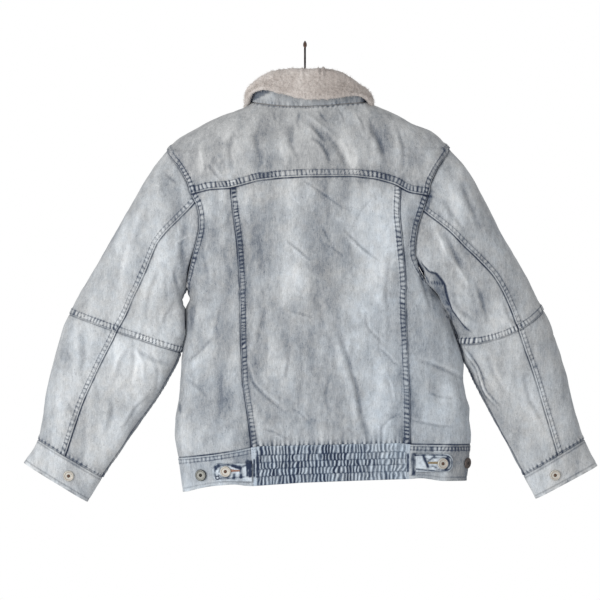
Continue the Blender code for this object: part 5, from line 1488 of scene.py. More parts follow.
def build_waist():
    base, v, q, face = band_grid(BAND_PARTS["waistband_back_elastic"], 0.85, 0.95)
    piece("waistband_back_elastic", base, away(base), "body", (SEAM_ELASTIC,), thick=BAND, extra=shirred(v),
          cool=lambda p, w: -0.70 + 0.35 * cloudy(p, (30, 30, 20), 57, 2))
    for name in ("waistband_L", "waistband_R"):
        base, v, q, face = band_grid(BAND_PARTS[name], 1.5, 1.1)
        piece(name, base, away(base), "body", (SEAM_WAIST,), thick=BAND, extra=side_band(v), cool=band_cast)


# ---------------------------------------------------------------- tabs, welts and buttons
def patch(name, x0, x1, top, low, round_end, offset, thick, face, shape, cols=60, rows=34, slots=None):
    """A small cloth piece lying on the body between x0 and x1."""
    share = np.linspace(0, 1, cols)
    across = np.linspace(-1, 1, rows)
    x = x0 + (x1 - x0) * share
    half, middle = (low - top) / 2, (low + top) / 2
    near = np.clip(1 - np.abs(x1 - x) / (half * 0.8), 0, 1)
    h = half * np.maximum(0.30, np.sqrt(np.maximum(0, 1 - near ** 2.6))) if round_end else np.full(cols, half)
    drop = middle + across[:, None] * h[None, :]
    xs = x[None, :] + 0 * drop
    base = on_body(xs, drop, face)
    normal = body_normal(xs, drop, face)
    rim_d = np.minimum((1 - np.abs(across))[:, None] * h[None, :], np.abs(x1 - x)[None, :] + 0 * drop)
    height, tone = shape(base, xs, drop, rim_d)
    warm = np.full_like(height, -0.35)
    obj = shell("look_" + name, base + offset * normal, normal, height, np.clip(tone, 0, 1), (DENIM_MAT, DENIM_MAT), thick,
                warm=warm, back=0 * height, inner_gap=4)
    FLAT[name], SPAN[name] = flat_area(base), spans(base)
    return obj


TAB_MARKS = {                       # half width, amount, picture places of the navy stitching on each tab
    "L": ((1.1, 0.86, (217.2, 468.5), (219.2, 465.6), (223.0, 464.6), (229.0, 464.2), (233.2, 465.3), (237.0, 467.6), (240.0, 467.4)),
          (0.94, 0.69, (215.6, 469.0), (215.3, 472.5), (215.9, 476.0)), (1.8, 0.76, (216.2, 466.2), (219.4, 464.9)),
          (1.5, 0.69, (232.8, 465.2), (239.2, 466.3)), (0.71, 0.62, (219.0, 474.8), (222.4, 476.6), (227.4, 477.2), (231.0, 475.2)),
          (1.7, 0.83, (234.5, 474.2), (234.8, 477.0)), (1.5, 0.86, (241.0, 467.4), (241.2, 476.4)), (0.94, 0.55, (220.6, 478.2), (232.0, 478.0), (244.0, 476.4)),
          (0.71, 0.48, (219.4, 471.6), (220.6, 467.8)), (1.1, 0.47, (243.6, 466.0), (246.6, 464.6)),
          (1.7, 0.80, (248.6, 461.0), (249.4, 467.5), (249.6, 475.0))),
    "R": ((0.65, 0.8, (414.5, 454.9), (430, 454.6), (444.5, 455.0), (449.4, 457.0), (451.4, 461.0), (451.0, 466.4), (447.4, 470.0), (438.0, 471.0), (416, 468.6)),
          (0.59, 0.69, (434.0, 457.6), (443.6, 457.0), (447.6, 459.2), (449.0, 463.2), (447.8, 467.0), (443.6, 469.0), (436.0, 469.4)),
          (1.4, 0.91, (423.4, 456.4), (425.0, 461.0), (427.4, 466.3)), (0.94, 0.62, (427.9, 460.9), (433.8, 455.9)),
          (1.7, 0.76, (446.6, 458.4), (448.2, 461.6), (447.6, 465.6), (445.0, 468.4)), (1.1, 0.55, (430.6, 465.8), (434.6, 466.6), (438.0, 468.6)),
          (0.59, 0.47, (424.2, 457.4), (430.0, 459.6))),
}


def tab_shape(seed, key):
    def shape(p, x, drop, rim_d):
        puff = 0.75 * step(0, 3.2, rim_d) - 0.35
        line = bell(rim_d - 2.4, 0.8)
        height = puff - 0.4 * line + 0.3 * noise(p, 9, seed)
        u, v = picture(p)
        tone = 0.22 + 0.09 * noise(p, 6, seed + 2) + 0.20 * line * np.clip(0.8 + 0.6 * noise(p, 7, seed + 1), 0.2, 1.2) \
            + 0.25 * bell(rim_d, 0.8) + 0.08 * cloudy(p, (4, 4, 4), seed + 3, 2)
        tone = np.maximum(tone, np.minimum(tone + bars(p, u, v), 0.95))
        for row in TAB_MARKS[key]:
            r, share = near_path(u, v, row[2:], 6)
            mark = row[1] * bell(r, row[0]) * np.clip(0.85 + 0.5 * noise(p, 4, seed + 5), 0.4, 1.2)
            tone = np.maximum(tone, np.minimum(tone + mark, 0.98))
            height = height + 0.3 * bell(r, row[0])
        return height, tone
    return shape


def build_tabs():
    for key, (x0, x1, top, low, bx, bd) in TABS.items():
        patch("tab_" + key, x0, x1, top, low, True, STRAP_OUT + TAB_THICK, TAB_THICK, 1, tab_shape(501 if key == "L" else 521, key))
    for name, (xa, da, xb, db) in {"welt_L": (120, 440, 158, 575), "welt_R": (-152, 440, -205, 575)}.items():
        share, across = np.linspace(0, 1, 90), np.linspace(-11, 11, 17)
        drop = (da + (db - da) * share)[:, None] + 0 * across[None, :]
        x = (xa + (xb - xa) * share)[:, None] + across[None, :]
        base, normal = on_body(x, drop, -1), body_normal(x, drop, -1)
        d = np.minimum(11 - np.abs(across)[None, :], (np.minimum(share, 1 - share) * 135)[:, None])
        line = bell(d - 2.0, 0.9)
        height = 0.6 * step(0, 2.5, d) - 0.3 - 0.45 * line + 0.3 * noise(base, 10, 541)
        tone = 0.34 + 0.28 * line + 0.08 * noise(base, 9, 543) + 0.2 * bell(d, 0.8)
        shell("look_" + name, base + (STRAP_OUT + 2.4) * normal, normal, height, np.clip(tone, 0, 1), (DENIM_MAT, DENIM_MAT), 2.4,
              warm=0 * height, back=0 * height, inner_gap=4)
        FLAT[name], SPAN[name] = flat_area(base), spans(base)


def frame_of(axis):
    axis = unit(axis)
    side = unit(np.cross(axis, (0.0, 0.0, 1.0) if abs(axis[2]) < 0.9 else (1.0, 0.0, 0.0)))
    return axis, side, np.cross(axis, side)


def turned(name, origin, axis, profile, marks, slots, sides=56, ripple=0.0):
    """A turned solid with a closed profile of (radius, height); marks are material numbers."""
    axis, side, other = frame_of(axis)
    t = 2 * np.pi * np.arange(sides) / sides
    ring = np.cos(t)[:, None] * side + np.sin(t)[:, None] * other
    pts = [np.asarray(origin, float) + axis * profile[0][1]]
    for k, (r, h) in enumerate(profile):
        wob = 1 + ripple * np.cos(9 * t + k) * (0.3 < r / BUTTON_R < 0.95)
        pts.extend(np.asarray(origin, float) + axis * h + r * wob[:, None] * ring)
    pts.append(np.asarray(origin, float) + axis * profile[-1][1])
    count = len(profile)
    k = np.arange(sides)
    j = (k + 1) % sides
    start = np.stack([np.zeros(sides, int), 1 + j, 1 + k], axis=1)
    quads = np.concatenate([np.stack([1 + r * sides + k, 1 + r * sides + j, 1 + (r + 1) * sides + j, 1 + (r + 1) * sides + k], axis=1)
                            for r in range(count - 1)])
    last = 1 + (count - 1) * sides
    end = np.stack([last + k, last + j, np.full(sides, len(pts) - 1)], axis=1)
    index = np.concatenate([np.full(sides, marks[0]), np.repeat(np.array(marks[1:count]), sides), np.full(sides, marks[-1])])
    return new_mesh(name, np.array(pts), [start, quads, end], slots, index)


def tack_button(name, origin, axis, dark=False, grow=0.0):
    """A plain jeans button: rolled rim, dished ring face and a small centre."""
    r, h = BUTTON_R + grow, BUTTON_H
    profile = [(r - 1.4, 0.0), (r - 0.4, 0.15), (r, 0.9), (r - 0.05, 1.7), (r - 0.5, h - 0.55), (r - 1.1, h - 0.15),
               (r - 1.7, h), (r - 2.3, h - 0.2), (r - 2.7, h - 0.75), (r - 3.4, h - 0.95), (r - 4.6, h - 0.80),
               (2.7, h - 0.70), (2.25, h - 0.95), (2.0, h - 0.60), (1.6, h - 0.25), (0.9, h - 0.1)]
    marks = [1, 1, 1, 0, 0, 0, 0, 0, 1, 0, 0, 0, 2, 2, 2, 2, 2]
    aged = name.startswith("adjust")
    if aged:                                            # a painted shadow ring on the rolled rim
        marks[3:6] = [1, 1, 1]
    slots = (DARK_BUTTON_MAT, DARK_BUTTON_MAT, DARK_CORE_MAT) if dark else \
        (AGED_MAT, RIM_SHADOW_MAT, DARK_CORE_MAT) if aged else (BUTTON_MAT, COPPER_MAT, CORE_MAT)
    return turned("look_" + name, origin, axis, profile, marks, slots)


BUTTONS = {}


def build_buttons():
    def put(name, x, drop, lift, face=1, dark=False):
        x, drop = np.array([float(x)]), np.array([float(drop)])
        p, n = on_body(x, drop, face)[0], body_normal(x, drop, face)[0]
        BUTTONS[name] = tack_button(name, p + lift * n, n, dark, 0.6 if name == "adjust_button_L" else 0.15)
    for key, (x0, x1, top, low, bx, bd) in TABS.items():
        put("tab_button_" + key, bx, bd, STRAP_OUT + TAB_THICK + 0.5)
        x, drop = ADJUSTERS[key]
        put("adjust_button_" + key, x, drop, 0.6, 1, key == "R")
    for k, drop in enumerate((186, 272, 358, 444, 530, 612)):
        put("front_button_%d" % (k + 1), float(read(FRONT_LINE, drop)), drop, 2.1, -1)
    put("waist_button", float(read(FRONT_LINE, 661)), 661, 0.6, -1)
    for side, key in ((1, "L"), (-1, "R")):
        t, s = np.array([[99.0, 100.0, 101.0]] * 3), np.array([[9.45] * 3, [9.5] * 3, [9.55] * 3])
        g = sleeve(side, s, t)
        n = normals_of(g, g - 0.5 * (sleeve(side, s, 0.0) + sleeve(side, s, 180.0)))[1, 1]
        BUTTONS["cuff_button_" + key] = tack_button("cuff_button_" + key, g[1, 1] + 0.7 * n, n)


# ---------------------------------------------------------------- collar
def collar_at(turn, number):
    return float(read(COLLAR_L if turn >= 0 else COLLAR_R, abs(turn), number, 3))


def neck_base(turn):
    side = 1 if turn >= 0 else -1
    a = min(abs(turn), 180.0)
    reach = (83.0 if side > 0 else -96.0) + 6.0
    x = -6.0 + reach * math.sin(math.radians(a))
    face = 1 if a <= 90 else -1
    drop = float(read(NECK_BACK if face > 0 else NECK_FRONT, x, 1, 2))
    q = float(q_at(np.array([x]), np.array([drop]), face)[0])
    p = torso(q, drop, face)
    if abs(a - 90) < 1e-6:
        p[1] = 0.0
    return p


def inside_body(x, y, drop, grow):
    if drop < 93:
        return False
    face = 1 if y > 0 else -1
    low, high = torso(-1, drop, face)[0], torso(1, drop, face)[0]
    if not low - grow < x < high + grow:
        return False
    q = float(q_at(np.array([min(max(x, low), high)]), np.array([drop]), face)[0])
    return abs(y) < abs(torso(q, drop, face)[1]) + grow


def fall_way(r, z, fall, radius, lean):
    size = max(3.5, fall - radius * 0.6) / 5
    way = []
    for k in range(5):
        a = math.radians(lean * min(1.0, (k + 1) / 3))
        r, z = r + size * math.sin(a), z - size * math.cos(a)
        way.append((r, z))
    return way


def outward(turn):
    base = neck_base(turn)
    ahead = (neck_base(turn + 3) - neck_base(turn - 3) if abs(turn) < 174
             else np.array([-1.0 if turn > 0 else 1.0, 0.0, 0.0]))
    ahead[2] = 0.0
    out = unit(np.cross(unit(ahead), (0, 0, 1.0)))
    return base, out if np.dot(out, base - np.array([-6.0, 0, base[2]])) > 0 else -out


def needed_lean(turn):
    fold, fall, gap = (collar_at(turn, k) for k in (1, 2, 3))
    base, out = outward(turn)
    inset = UNDER + 0.4
    radius = (gap + 2 * inset) / 2
    for lean in range(4, 84, 4):
        clear = True
        for r, z in fall_way(2 * radius - inset, -fold - SHERPA - 0.2 - radius, fall, radius, lean):
            over, beside = base + out * r, base + out * (r - inset - 1.5)
            if inside_body(over[0], over[1], -z + 3.5, 0.5) or inside_body(beside[0], beside[1], -z, 0.5):
                clear = False
        if clear:
            break
    return float(lean)


def all_leans():
    grid = np.arange(-172, 173, 8.0)
    need = np.array([needed_lean(t) for t in grid])
    most = np.array([need[max(0, i - 1):i + 2].max() for i in range(len(need))])
    mean = np.array([most[max(0, i - 1):i + 2].mean() for i in range(len(need))])
    own = np.interp(np.abs(grid), (0, 40, 70, 95), (5, 5, 3, 3))
    return grid, own + (mean - own) * step(92, 118, np.abs(grid))


def collar_line(turn, leans):
    fold, fall, gap = (collar_at(turn, k) for k in (1, 2, 3))
    base, out = outward(turn)
    up = np.array([0, 0, 1.0])
    inset = UNDER + 0.4
    radius = (gap + 2 * inset) / 2
    top = -fold - SHERPA - 0.2
    foot = base[2] + 0.6
    flat = [(-inset, foot), (-inset, 0.5 * (foot + top - radius)), (-inset, top - radius)]
    centre = (-inset + radius, top - radius)
    for k in (1, 2, 3):
        t = math.pi - math.pi * k / 4
        flat.append((centre[0] + radius * math.cos(t), centre[1] + radius * math.sin(t)))
    r0, z0 = centre[0] + radius, top - radius
    flat.append((r0, z0))
    flat += fall_way(r0, z0, fall, radius, float(np.interp(turn, *leans)))
    flat = np.array(flat)
    # a smooth denser way through the same points
    seg = np.linalg.norm(np.diff(flat, axis=0), axis=1)
    arc = np.concatenate([[0], np.cumsum(seg)])
    share = np.concatenate([np.linspace(0, arc[2], 14)[:-1], np.linspace(arc[2], arc[6], 15)[:-1], np.linspace(arc[6], arc[-1], 34)])
    dense = np.stack([np.interp(share, arc, flat[:, k]) for k in (0, 1)], axis=1)
    for _ in range(6):
        dense[1:-1] = 0.25 * dense[:-2] + 0.5 * dense[1:-1] + 0.25 * dense[2:]
    tangent = unit(np.gradient(dense, axis=0))
    normal = np.stack([-tangent[:, 1], tangent[:, 0]], axis=1)
    place = base[None, :] * np.array([1, 1, 0]) + dense[:, :1] * out + dense[:, 1:] * up
    return place, normal[:, :1] * out + normal[:, 1:] * up


def tufts(p, seed=0):
    """Small uneven curls of pile, 0 between them and 1 on top."""
    q = p + 1.6 * np.stack([noise(p, 7, seed + k) for k in range(3)], axis=-1)
    size = 4.6
    c = np.floor(q / size).astype(np.int64)
    best = np.full(q.shape[:-1], 9.0)
    for i in (-1, 0, 1):
        for j in (-1, 0, 1):
            for k in (-1, 0, 1):
                ci, cj, ck = c[..., 0] + i, c[..., 1] + j, c[..., 2] + k
                at = np.stack([ci + 0.5 + 0.42 * hashed(ci, cj, ck, seed + 1), cj + 0.5 + 0.42 * hashed(ci, cj, ck, seed + 2),
                               ck + 0.5 + 0.42 * hashed(ci, cj, ck, seed + 3)], axis=-1) * size
                best = np.minimum(best, np.linalg.norm(q - at, axis=-1))
    return np.clip(1 - best / 3.4, 0, 1) ** 0.7


def build_collar():
    leans = all_leans()
    turns = np.linspace(-172, 172, 420)
    key = np.linspace(-172, 172, 87)
    lines = [collar_line(float(t), leans) for t in key]
    kp = np.array([line[0] for line in lines])
    kn = np.array([line[1] for line in lines])

    def dense(a):
        out = np.empty((len(turns),) + a.shape[1:])
        for i in range(a.shape[1]):
            for k in range(3):
                out[:, i, k] = np.interp(turns, key, a[:, i, k])
        for _ in range(8):
            out[1:-1] = 0.25 * out[:-2] + 0.5 * out[1:-1] + 0.25 * out[2:]
        return out
    p, n = dense(kp), unit(dense(kn))
    # pile: a closed section, thick, with rounded ends
    along = unit(np.gradient(p, axis=1))
    half = SHERPA / 2
    mid = p + (0.2 + half) * n
    parts, outs, pile = [], [], []
    count = p.shape[1]
    swell = 1 + 0.10 * noise(p * np.array([1, 1, 1.0]), 28, 601)
    for k in range(count):                              # outer side
        parts.append(mid[:, k] + (half * swell[:, k])[:, None] * n[:, k])
        outs.append(n[:, k])
        pile.append(1.0)
    for t in (60, 30, 0, -30, -60):                     # round the edge of the fall
        a = math.radians(t)
        d = math.sin(a) * n[:, -1] + math.cos(a) * along[:, -1]
        parts.append(mid[:, -1] + half * 1.15 * d)
        outs.append(d)
        pile.append(1.0 if t > -40 else 0.5)
    for k in range(count - 1, -1, -3):                  # under side
        parts.append(mid[:, k] - half * n[:, k])
        outs.append(-n[:, k])
        pile.append(0.0)
    for t in (-60, 0, 60):                              # foot of the stand
        a = math.radians(t)
        d = math.sin(a) * n[:, 0] - math.cos(a) * along[:, 0]
        parts.append(mid[:, 0] + half * 0.9 * d)
        outs.append(d)
        pile.append(0.3)
    base = np.stack(parts, axis=1)
    out = unit(np.stack(outs, axis=1))
    pile = np.array(pile)[None, :]
    curl = tufts(base, 611)
    wave = cloudy(base, 16, 617, 2)
    height = pile * (1.9 * curl - 0.9 + 1.0 * wave + 0.4 * noise(base, 2.4, 619))
    for x0, size in ((-21.0, 2.2), (-28.5, 2.6), (4.5, 1.6)):              # loose tufts on the fold
        height = height + pile * size * bell(base[..., 0] - x0, 2.2) * step(-60, -50, base[..., 2]) * (base[..., 1] > 0)
    pts = base + height[..., None] * out
    rows, cols = pts.shape[:2]
    faces = grid_faces(rows, cols, 0, True)
    cap0, cap1 = pts[0].mean(axis=0), pts[-1].mean(axis=0)
    allp = np.concatenate([pts.reshape(-1, 3), [cap0, cap1]])
    c = np.arange(cols)
    d = (c + 1) % cols
    tri = np.concatenate([np.stack([d, c, np.full(cols, rows * cols)], axis=1),
                          np.stack([(rows - 1) * cols + c, (rows - 1) * cols + d, np.full(cols, rows * cols + 1)], axis=1)])
    a, b, e = (allp[faces[:, i]] for i in (0, 1, 2))
    if np.median(np.sum(np.cross(b - a, e - a) * out.reshape(-1, 3)[faces[:, 0]], axis=1)) < 0:
        faces, tri = faces[:, ::-1], tri[:, ::-1]
    u, v = picture(base)
    # painted shade on the pile: darker towards the right, above the fold at the right and at the band's middle; painted
    # light on the curls' tops
    dim = np.interp(u, (252, 260, 268, 278, 288, 300, 308, 318, 326, 340, 352, 366), (.02, .12, .20, .34, .16, .08, .12, .36, .54, .54, .54, .40))
    dim = dim + 0.16 * (1 - step(70, 75, v)) * step(270, 282, u) + 0.10 * bell(v - 88, 7) * bell(u - 300, 26)
    dim = np.where(base[..., 1] > -20, dim, 0.12) + 0.09 * cloudy(base, (7, 9, 26), 653, 3) - 0.10 * curl * pile
    shade = np.concatenate([np.clip(dim, 0, 1).reshape(-1), [0.3, 0.3]])
    new_mesh("look_collar_sherpa", allp, [faces, tri], (SHERPA_MAT,), None, None, {"shade": shade})
    FLAT["collar_sherpa"], SPAN["collar_sherpa"] = flat_area(p), spans(p)
    # fibres that stand off the pile
    rng = np.random.default_rng(5)
    vis = np.nonzero(np.repeat(pile > 0.4, rows, axis=0).reshape(-1))[0]
    pick = rng.choice(vis, 15000)
    root, way = pts.reshape(-1, 3)[pick], out.reshape(-1, 3)[pick]
    bend = unit(rng.normal(size=(len(pick), 3)))
    length = rng.uniform(1.2, 3.4, len(pick))[:, None]
    wide = 0.16 * unit(np.cross(way, bend))
    mid_p = root + way * length * 0.55 + bend * length * 0.22
    tip = root + way * length * 0.8 + bend * length * 0.75
    v = np.stack([root - wide - 0.3 * way, root + wide - 0.3 * way, mid_p + wide * 0.8, mid_p - wide * 0.8, tip], axis=1).reshape(-1, 3)
    k = 5 * np.arange(len(pick))[:, None]
    new_mesh("look_collar_fibres", v, [k + np.array([0, 1, 2, 3]), k + np.array([3, 2, 4])], (FIBRE_MAT,), None, None,
             {"shade": np.repeat(shade[pick], 5)})
    # the denim under collar
    h = 0.35 * noise(p, 12, 631) + 0.15 * noise(p, 5, 632)
    seg = np.linalg.norm(np.diff(p, axis=1), axis=2)
    far = np.concatenate([np.zeros((rows, 1)), np.cumsum(seg, axis=1)], axis=1)
    left = far[:, -1:] - far
    around = np.arange(rows) * 1.35
    wave = np.cos(2 * np.pi * (around / 8.0 + 0.6 * line_noise(around, 20, 637)))[:, None]
    pucker = np.clip(0.5 + 0.8 * line_noise(around, 30, 641), 0.1, 1.2)[:, None]
    h = h + 0.5 * pucker * wave * bell(far, 6.0)
    # painted shade under the fall and a painted shadow line along its edge
    tone = 0.46 + 0.10 * cloudy(p, 14, 633, 2) + 0.14 * step(20, 30, far) + 0.22 * bell(left - 6, 1.1) \
        + pucker * bell(far, 4.5) * (0.05 - 0.12 * wave) + 0.03 * cloudy(p, (4, 4, 12), 643, 2)
    u, v = picture(p)
    # painted shade in the left corner and towards the right end
    tone = tone + (p[..., 1] > 0) * (0.32 * step(0, 2.5, 268.5 - u - 2.0 * (v - 94)) + 0.12 * step(325, 340, u) + 0.30 * step(358, 364, u)
                                     - 0.05 * bell(u - 276, 14))
    under = p - 0.25 * n
    shell("look_collar_under", under, -n, UNDER + h, np.clip(tone, 0, 1), (DENIM_MAT, DENIM_MAT), UNDER, warm=0.6 + 0 * h, back=h * 0 + UNDER,
          inner_gap=6)
    FLAT["collar_under"], SPAN["collar_under"] = flat_area(p), spans(p)


# ---------------------------------------------------------------- hanger
def swept(name, path, half_a, half_b, sides, slots, across, marks=None, ripple=0.0):
    path = np.asarray(path, float)
    tangent = unit(np.gradient(path, axis=0))
    t = 2 * np.pi * np.arange(sides) / sides
    b = unit(np.cross(tangent, across))
    a = unit(np.cross(b, tangent))
    rows = (path[:, None] + (np.asarray(half_a)[:, None] * np.cos(t))[..., None] * a[:, None]
            + (np.asarray(half_b)[:, None] * np.sin(t))[..., None] * b[:, None])
    if ripple:
        rows = rows + (ripple * noise(rows, 12, 701))[..., None] * unit(rows - path[:, None])
    count = len(path)
    faces = grid_faces(count, sides, 0, True)
    pts = np.concatenate([rows.reshape(-1, 3), [path[0], path[-1]]])
    k, j = np.arange(sides), (np.arange(sides) + 1) % sides
    tri = np.concatenate([np.stack([j, k, np.full(sides, count * sides)], axis=1),
                          np.stack([(count - 1) * sides + k, (count - 1) * sides + j, np.full(sides, count * sides + 1)], axis=1)])
    x, y, z = (pts[faces[:, i]] for i in (0, 1, 2))
    outw = (rows - path[:, None]).reshape(-1, 3)[faces[:, 0]]
    if np.median(np.sum(np.cross(y - x, z - x) * outw, axis=1)) < 0:
        faces, tri = faces[:, ::-1], tri[:, ::-1]
    index = None
    if marks is not None:
        index = np.concatenate([np.repeat(marks[:count - 1], sides), np.full(sides, marks[0]), np.full(sides, marks[-1])])
    return new_mesh(name, pts, [faces, tri], slots, index)


def build_hanger():
    x = np.linspace(-172, 166, 150)
    d = read(HANGER, x, 1, 9)
    path = np.stack([x, 0 * x, -d], axis=1)
    end = np.sqrt(np.clip(1 - np.maximum(np.clip((-160 - x) / 12, 0, 1), np.clip((x - 154) / 12, 0, 1)) ** 2, 0.02, 1))
    wide = np.interp(x, (-172, -110, 0, 110, 166), (8, 11, 9, 11, 8)) * end
    high = np.interp(x, (-172, -110, 0, 110, 166), (5, 7, 7, 7, 5)) * end
    swept("look_hanger_body", path, wide, high, 28, (WOOD_MAT,), (0, 1, 0), ripple=0.25)
    centre = -(HOOK_LOOP - HOOK_WIRE)
    pts = [(0.0, 0.0, z) for z in np.linspace(-99.6, -50, 34)] + [(0, -0.3, -47.0), (0, -0.9, -44.0)]
    for deg in np.arange(-75, 151, 5):
        a = math.radians(float(deg))
        pts.append((0.0, -HOOK_LOOP * math.cos(a), centre + HOOK_LOOP * math.sin(a)))
    pts = np.array(pts)
    n = len(pts)
    r = np.full(n, HOOK_WIRE * 0.92)
    tip = np.arange(n) > n - 8
    r[tip] = np.interp(np.arange(n)[tip], (n - 8, n - 7, n - 5, n - 3, n - 1), (1.8, 2.6, 3.0, 2.9, 1.2))
    marks = np.where(tip, 1, 0)
    swept("look_hanger_hook", pts, r, r, 20, (WIRE_MAT, TIP_MAT), (1, 0, 0), marks)


HANG = ("look_hanger_body", "look_hanger_hook")


# ---------------------------------------------------------------- thread
def thread_runs(name, centres, ways, normals, half, radius, mat, rise=0.35):
    """Short stitches as one mesh: four sides, raised in the middle, pointed ends."""
    c, t, n = np.asarray(centres, float), unit(np.asarray(ways, float)), unit(np.asarray(normals, float))
    t = unit(t - np.sum(t * n, axis=1, keepdims=True) * n)
    b = np.cross(n, t)
    half = np.broadcast_to(np.asarray(half, float), (len(c),))[:, None]
    rows = [c - half * t - 0.25 * n]
    for along, up in ((-0.7, 0.15), (0.0, rise), (0.7, 0.15)):
        middle = c + along * half * t + up * n
        for ca, sa in ((1, 0), (0, 1), (-1, 0), (0, -1)):
            rows.append(middle + radius * (ca * b + sa * n))
    rows.append(c + half * t - 0.25 * n)
    pts = np.stack(rows, axis=1)
    base = (np.arange(len(c)) * 14)[:, None]
    quads, tris = [], []
    for ring in (1, 5):
        for k in range(4):
            j = (k + 1) % 4
            quads.append(base + np.array([ring + k, ring + j, ring + 4 + j, ring + 4 + k]))
    for k in range(4):
        j = (k + 1) % 4
        tris += [base + np.array([0, 1 + j, 1 + k]), base + np.array([13, 9 + k, 9 + j])]
    quads, tris = np.concatenate(quads), np.concatenate(tris)
    p = pts.reshape(-1, 3)
    mid = np.repeat(c, 14, axis=0)
    a, d, e = p[quads[:, 0]], p[quads[:, 1]], p[quads[:, 2]]
    if np.median(np.sum(np.cross(d - a, e - a) * (a - mid[quads[:, 0]]), axis=1)) < 0:
        quads, tris = quads[:, ::-1], tris[:, ::-1]
    return new_mesh(name, p, [quads, tris], (mat,))


class Skin:
    """Finds the place on the outer cloth that is nearest to a point."""

    def __init__(self):
        from mathutils import kdtree
        self.p = np.concatenate([a for a, _ in ALL_OUTER])
        self.n = np.concatenate([b for _, b in ALL_OUTER])
        self.tree = kdtree.KDTree(len(self.p))
        for i, co in enumerate(self.p.tolist()):
            self.tree.insert(co, i)
        self.tree.balance()

    def at(self, q):
        index = np.array([self.tree.find(x)[1] for x in np.asarray(q, float).tolist()])
        v, n = self.p[index], self.n[index]
        far = np.linalg.norm(q - v, axis=1)
        return q - np.sum((q - v) * n, axis=1, keepdims=True) * n, n, far


def build_stitches():
    skin = Skin()
    rng = np.random.default_rng(23)
    lines = [(SEAM_YOKE, None), (SEAM_BACK_L, None), (SEAM_BACK_R, None), (SEAM_NECK, None), (SEAM_WAIST, None)]
    for k in (1, -1):
        lines += [(SEAM_ARM[k], None), (SEAM_SLEEVE[k], None), (SEAM_ELBOW[k], None), (SEAM_CUFF[k], None), (SEAM_PIT[k], (1.8,))]
    centres, ways, normals, halves = [], [], [], []
    for seam, only in lines:
        for d in (only or seam.stitch):
            s = np.arange(2.0, seam.arc[-1] - 2.0, 4.1)
            s = s + rng.uniform(-0.25, 0.25, len(s))
            p = np.stack([np.interp(s, seam.arc, seam.pts[:, k]) for k in range(3)], axis=1)
            t = np.stack([np.interp(s, seam.arc, seam.tangent[:, k]) for k in range(3)], axis=1)
            _, n, _ = skin.at(p)
            q = p + d * seam.up * unit(np.cross(n, t))
            q, n, far = skin.at(q)
            u, v = picture(q)
            keep = (far < 3.0) & ~((seam is SEAM_WAIST) & (q[:, 1] > 0) & (u > 257) & (u < 410))
            centres.append(q[keep])
            ways.append(t[keep])
            normals.append(n[keep])
            halves.append(rng.uniform(1.15, 1.45, keep.sum()))
    thread_runs("look_stitches", np.concatenate(centres), np.concatenate(ways), np.concatenate(normals),
                np.concatenate(halves), 0.30, THREAD_MAT)
    # buttonholes: stitches side by side, taller at the button
    for key, x0, x1, y, tall, low, mat in (("L", 231.0, 239.9, 470.3, 3.7, 1.6, COPPER_MAT), ("R", 436.6, 427.9, 462.5, 3.0, 2.2, TAN_MAT)):
        share = np.linspace(0, 1, 18)
        u = x0 + (x1 - x0) * share
        x, drop = (X0 - u) * PX, (y - Y0) * PX + 0 * u
        q = on_body(x, drop, 1) + (STRAP_OUT + TAB_THICK) * body_normal(x, drop, 1)
        q, n, _ = skin.at(q)
        down = np.tile([0.0, 0.0, -1.0], (len(q), 1))
        half = (tall + (low - tall) * share ** 0.7) * PX / 2
        thread_runs("look_buttonhole_" + key, q + 0.25 * n, down, n, half, 0.50, mat, 0.5)
    # the navy eyelet on the left tab
    a = np.linspace(0, 2 * np.pi, 13)[:-1]
    u, v = 217.9 + 1.65 * np.cos(a), 477.4 + 1.65 * np.sin(a)
    x, drop = (X0 - u) * PX, (v - Y0) * PX
    q, n, _ = skin.at(on_body(x, drop, 1) + (STRAP_OUT + TAB_THICK) * body_normal(x, drop, 1))
    way = np.stack([np.sin(a), 0 * a, np.cos(a)], axis=1)
    thread_runs("look_eyelet_L", q + 0.2 * n, way, n, 0.95, 0.68, NAVY_MAT, 0.4)


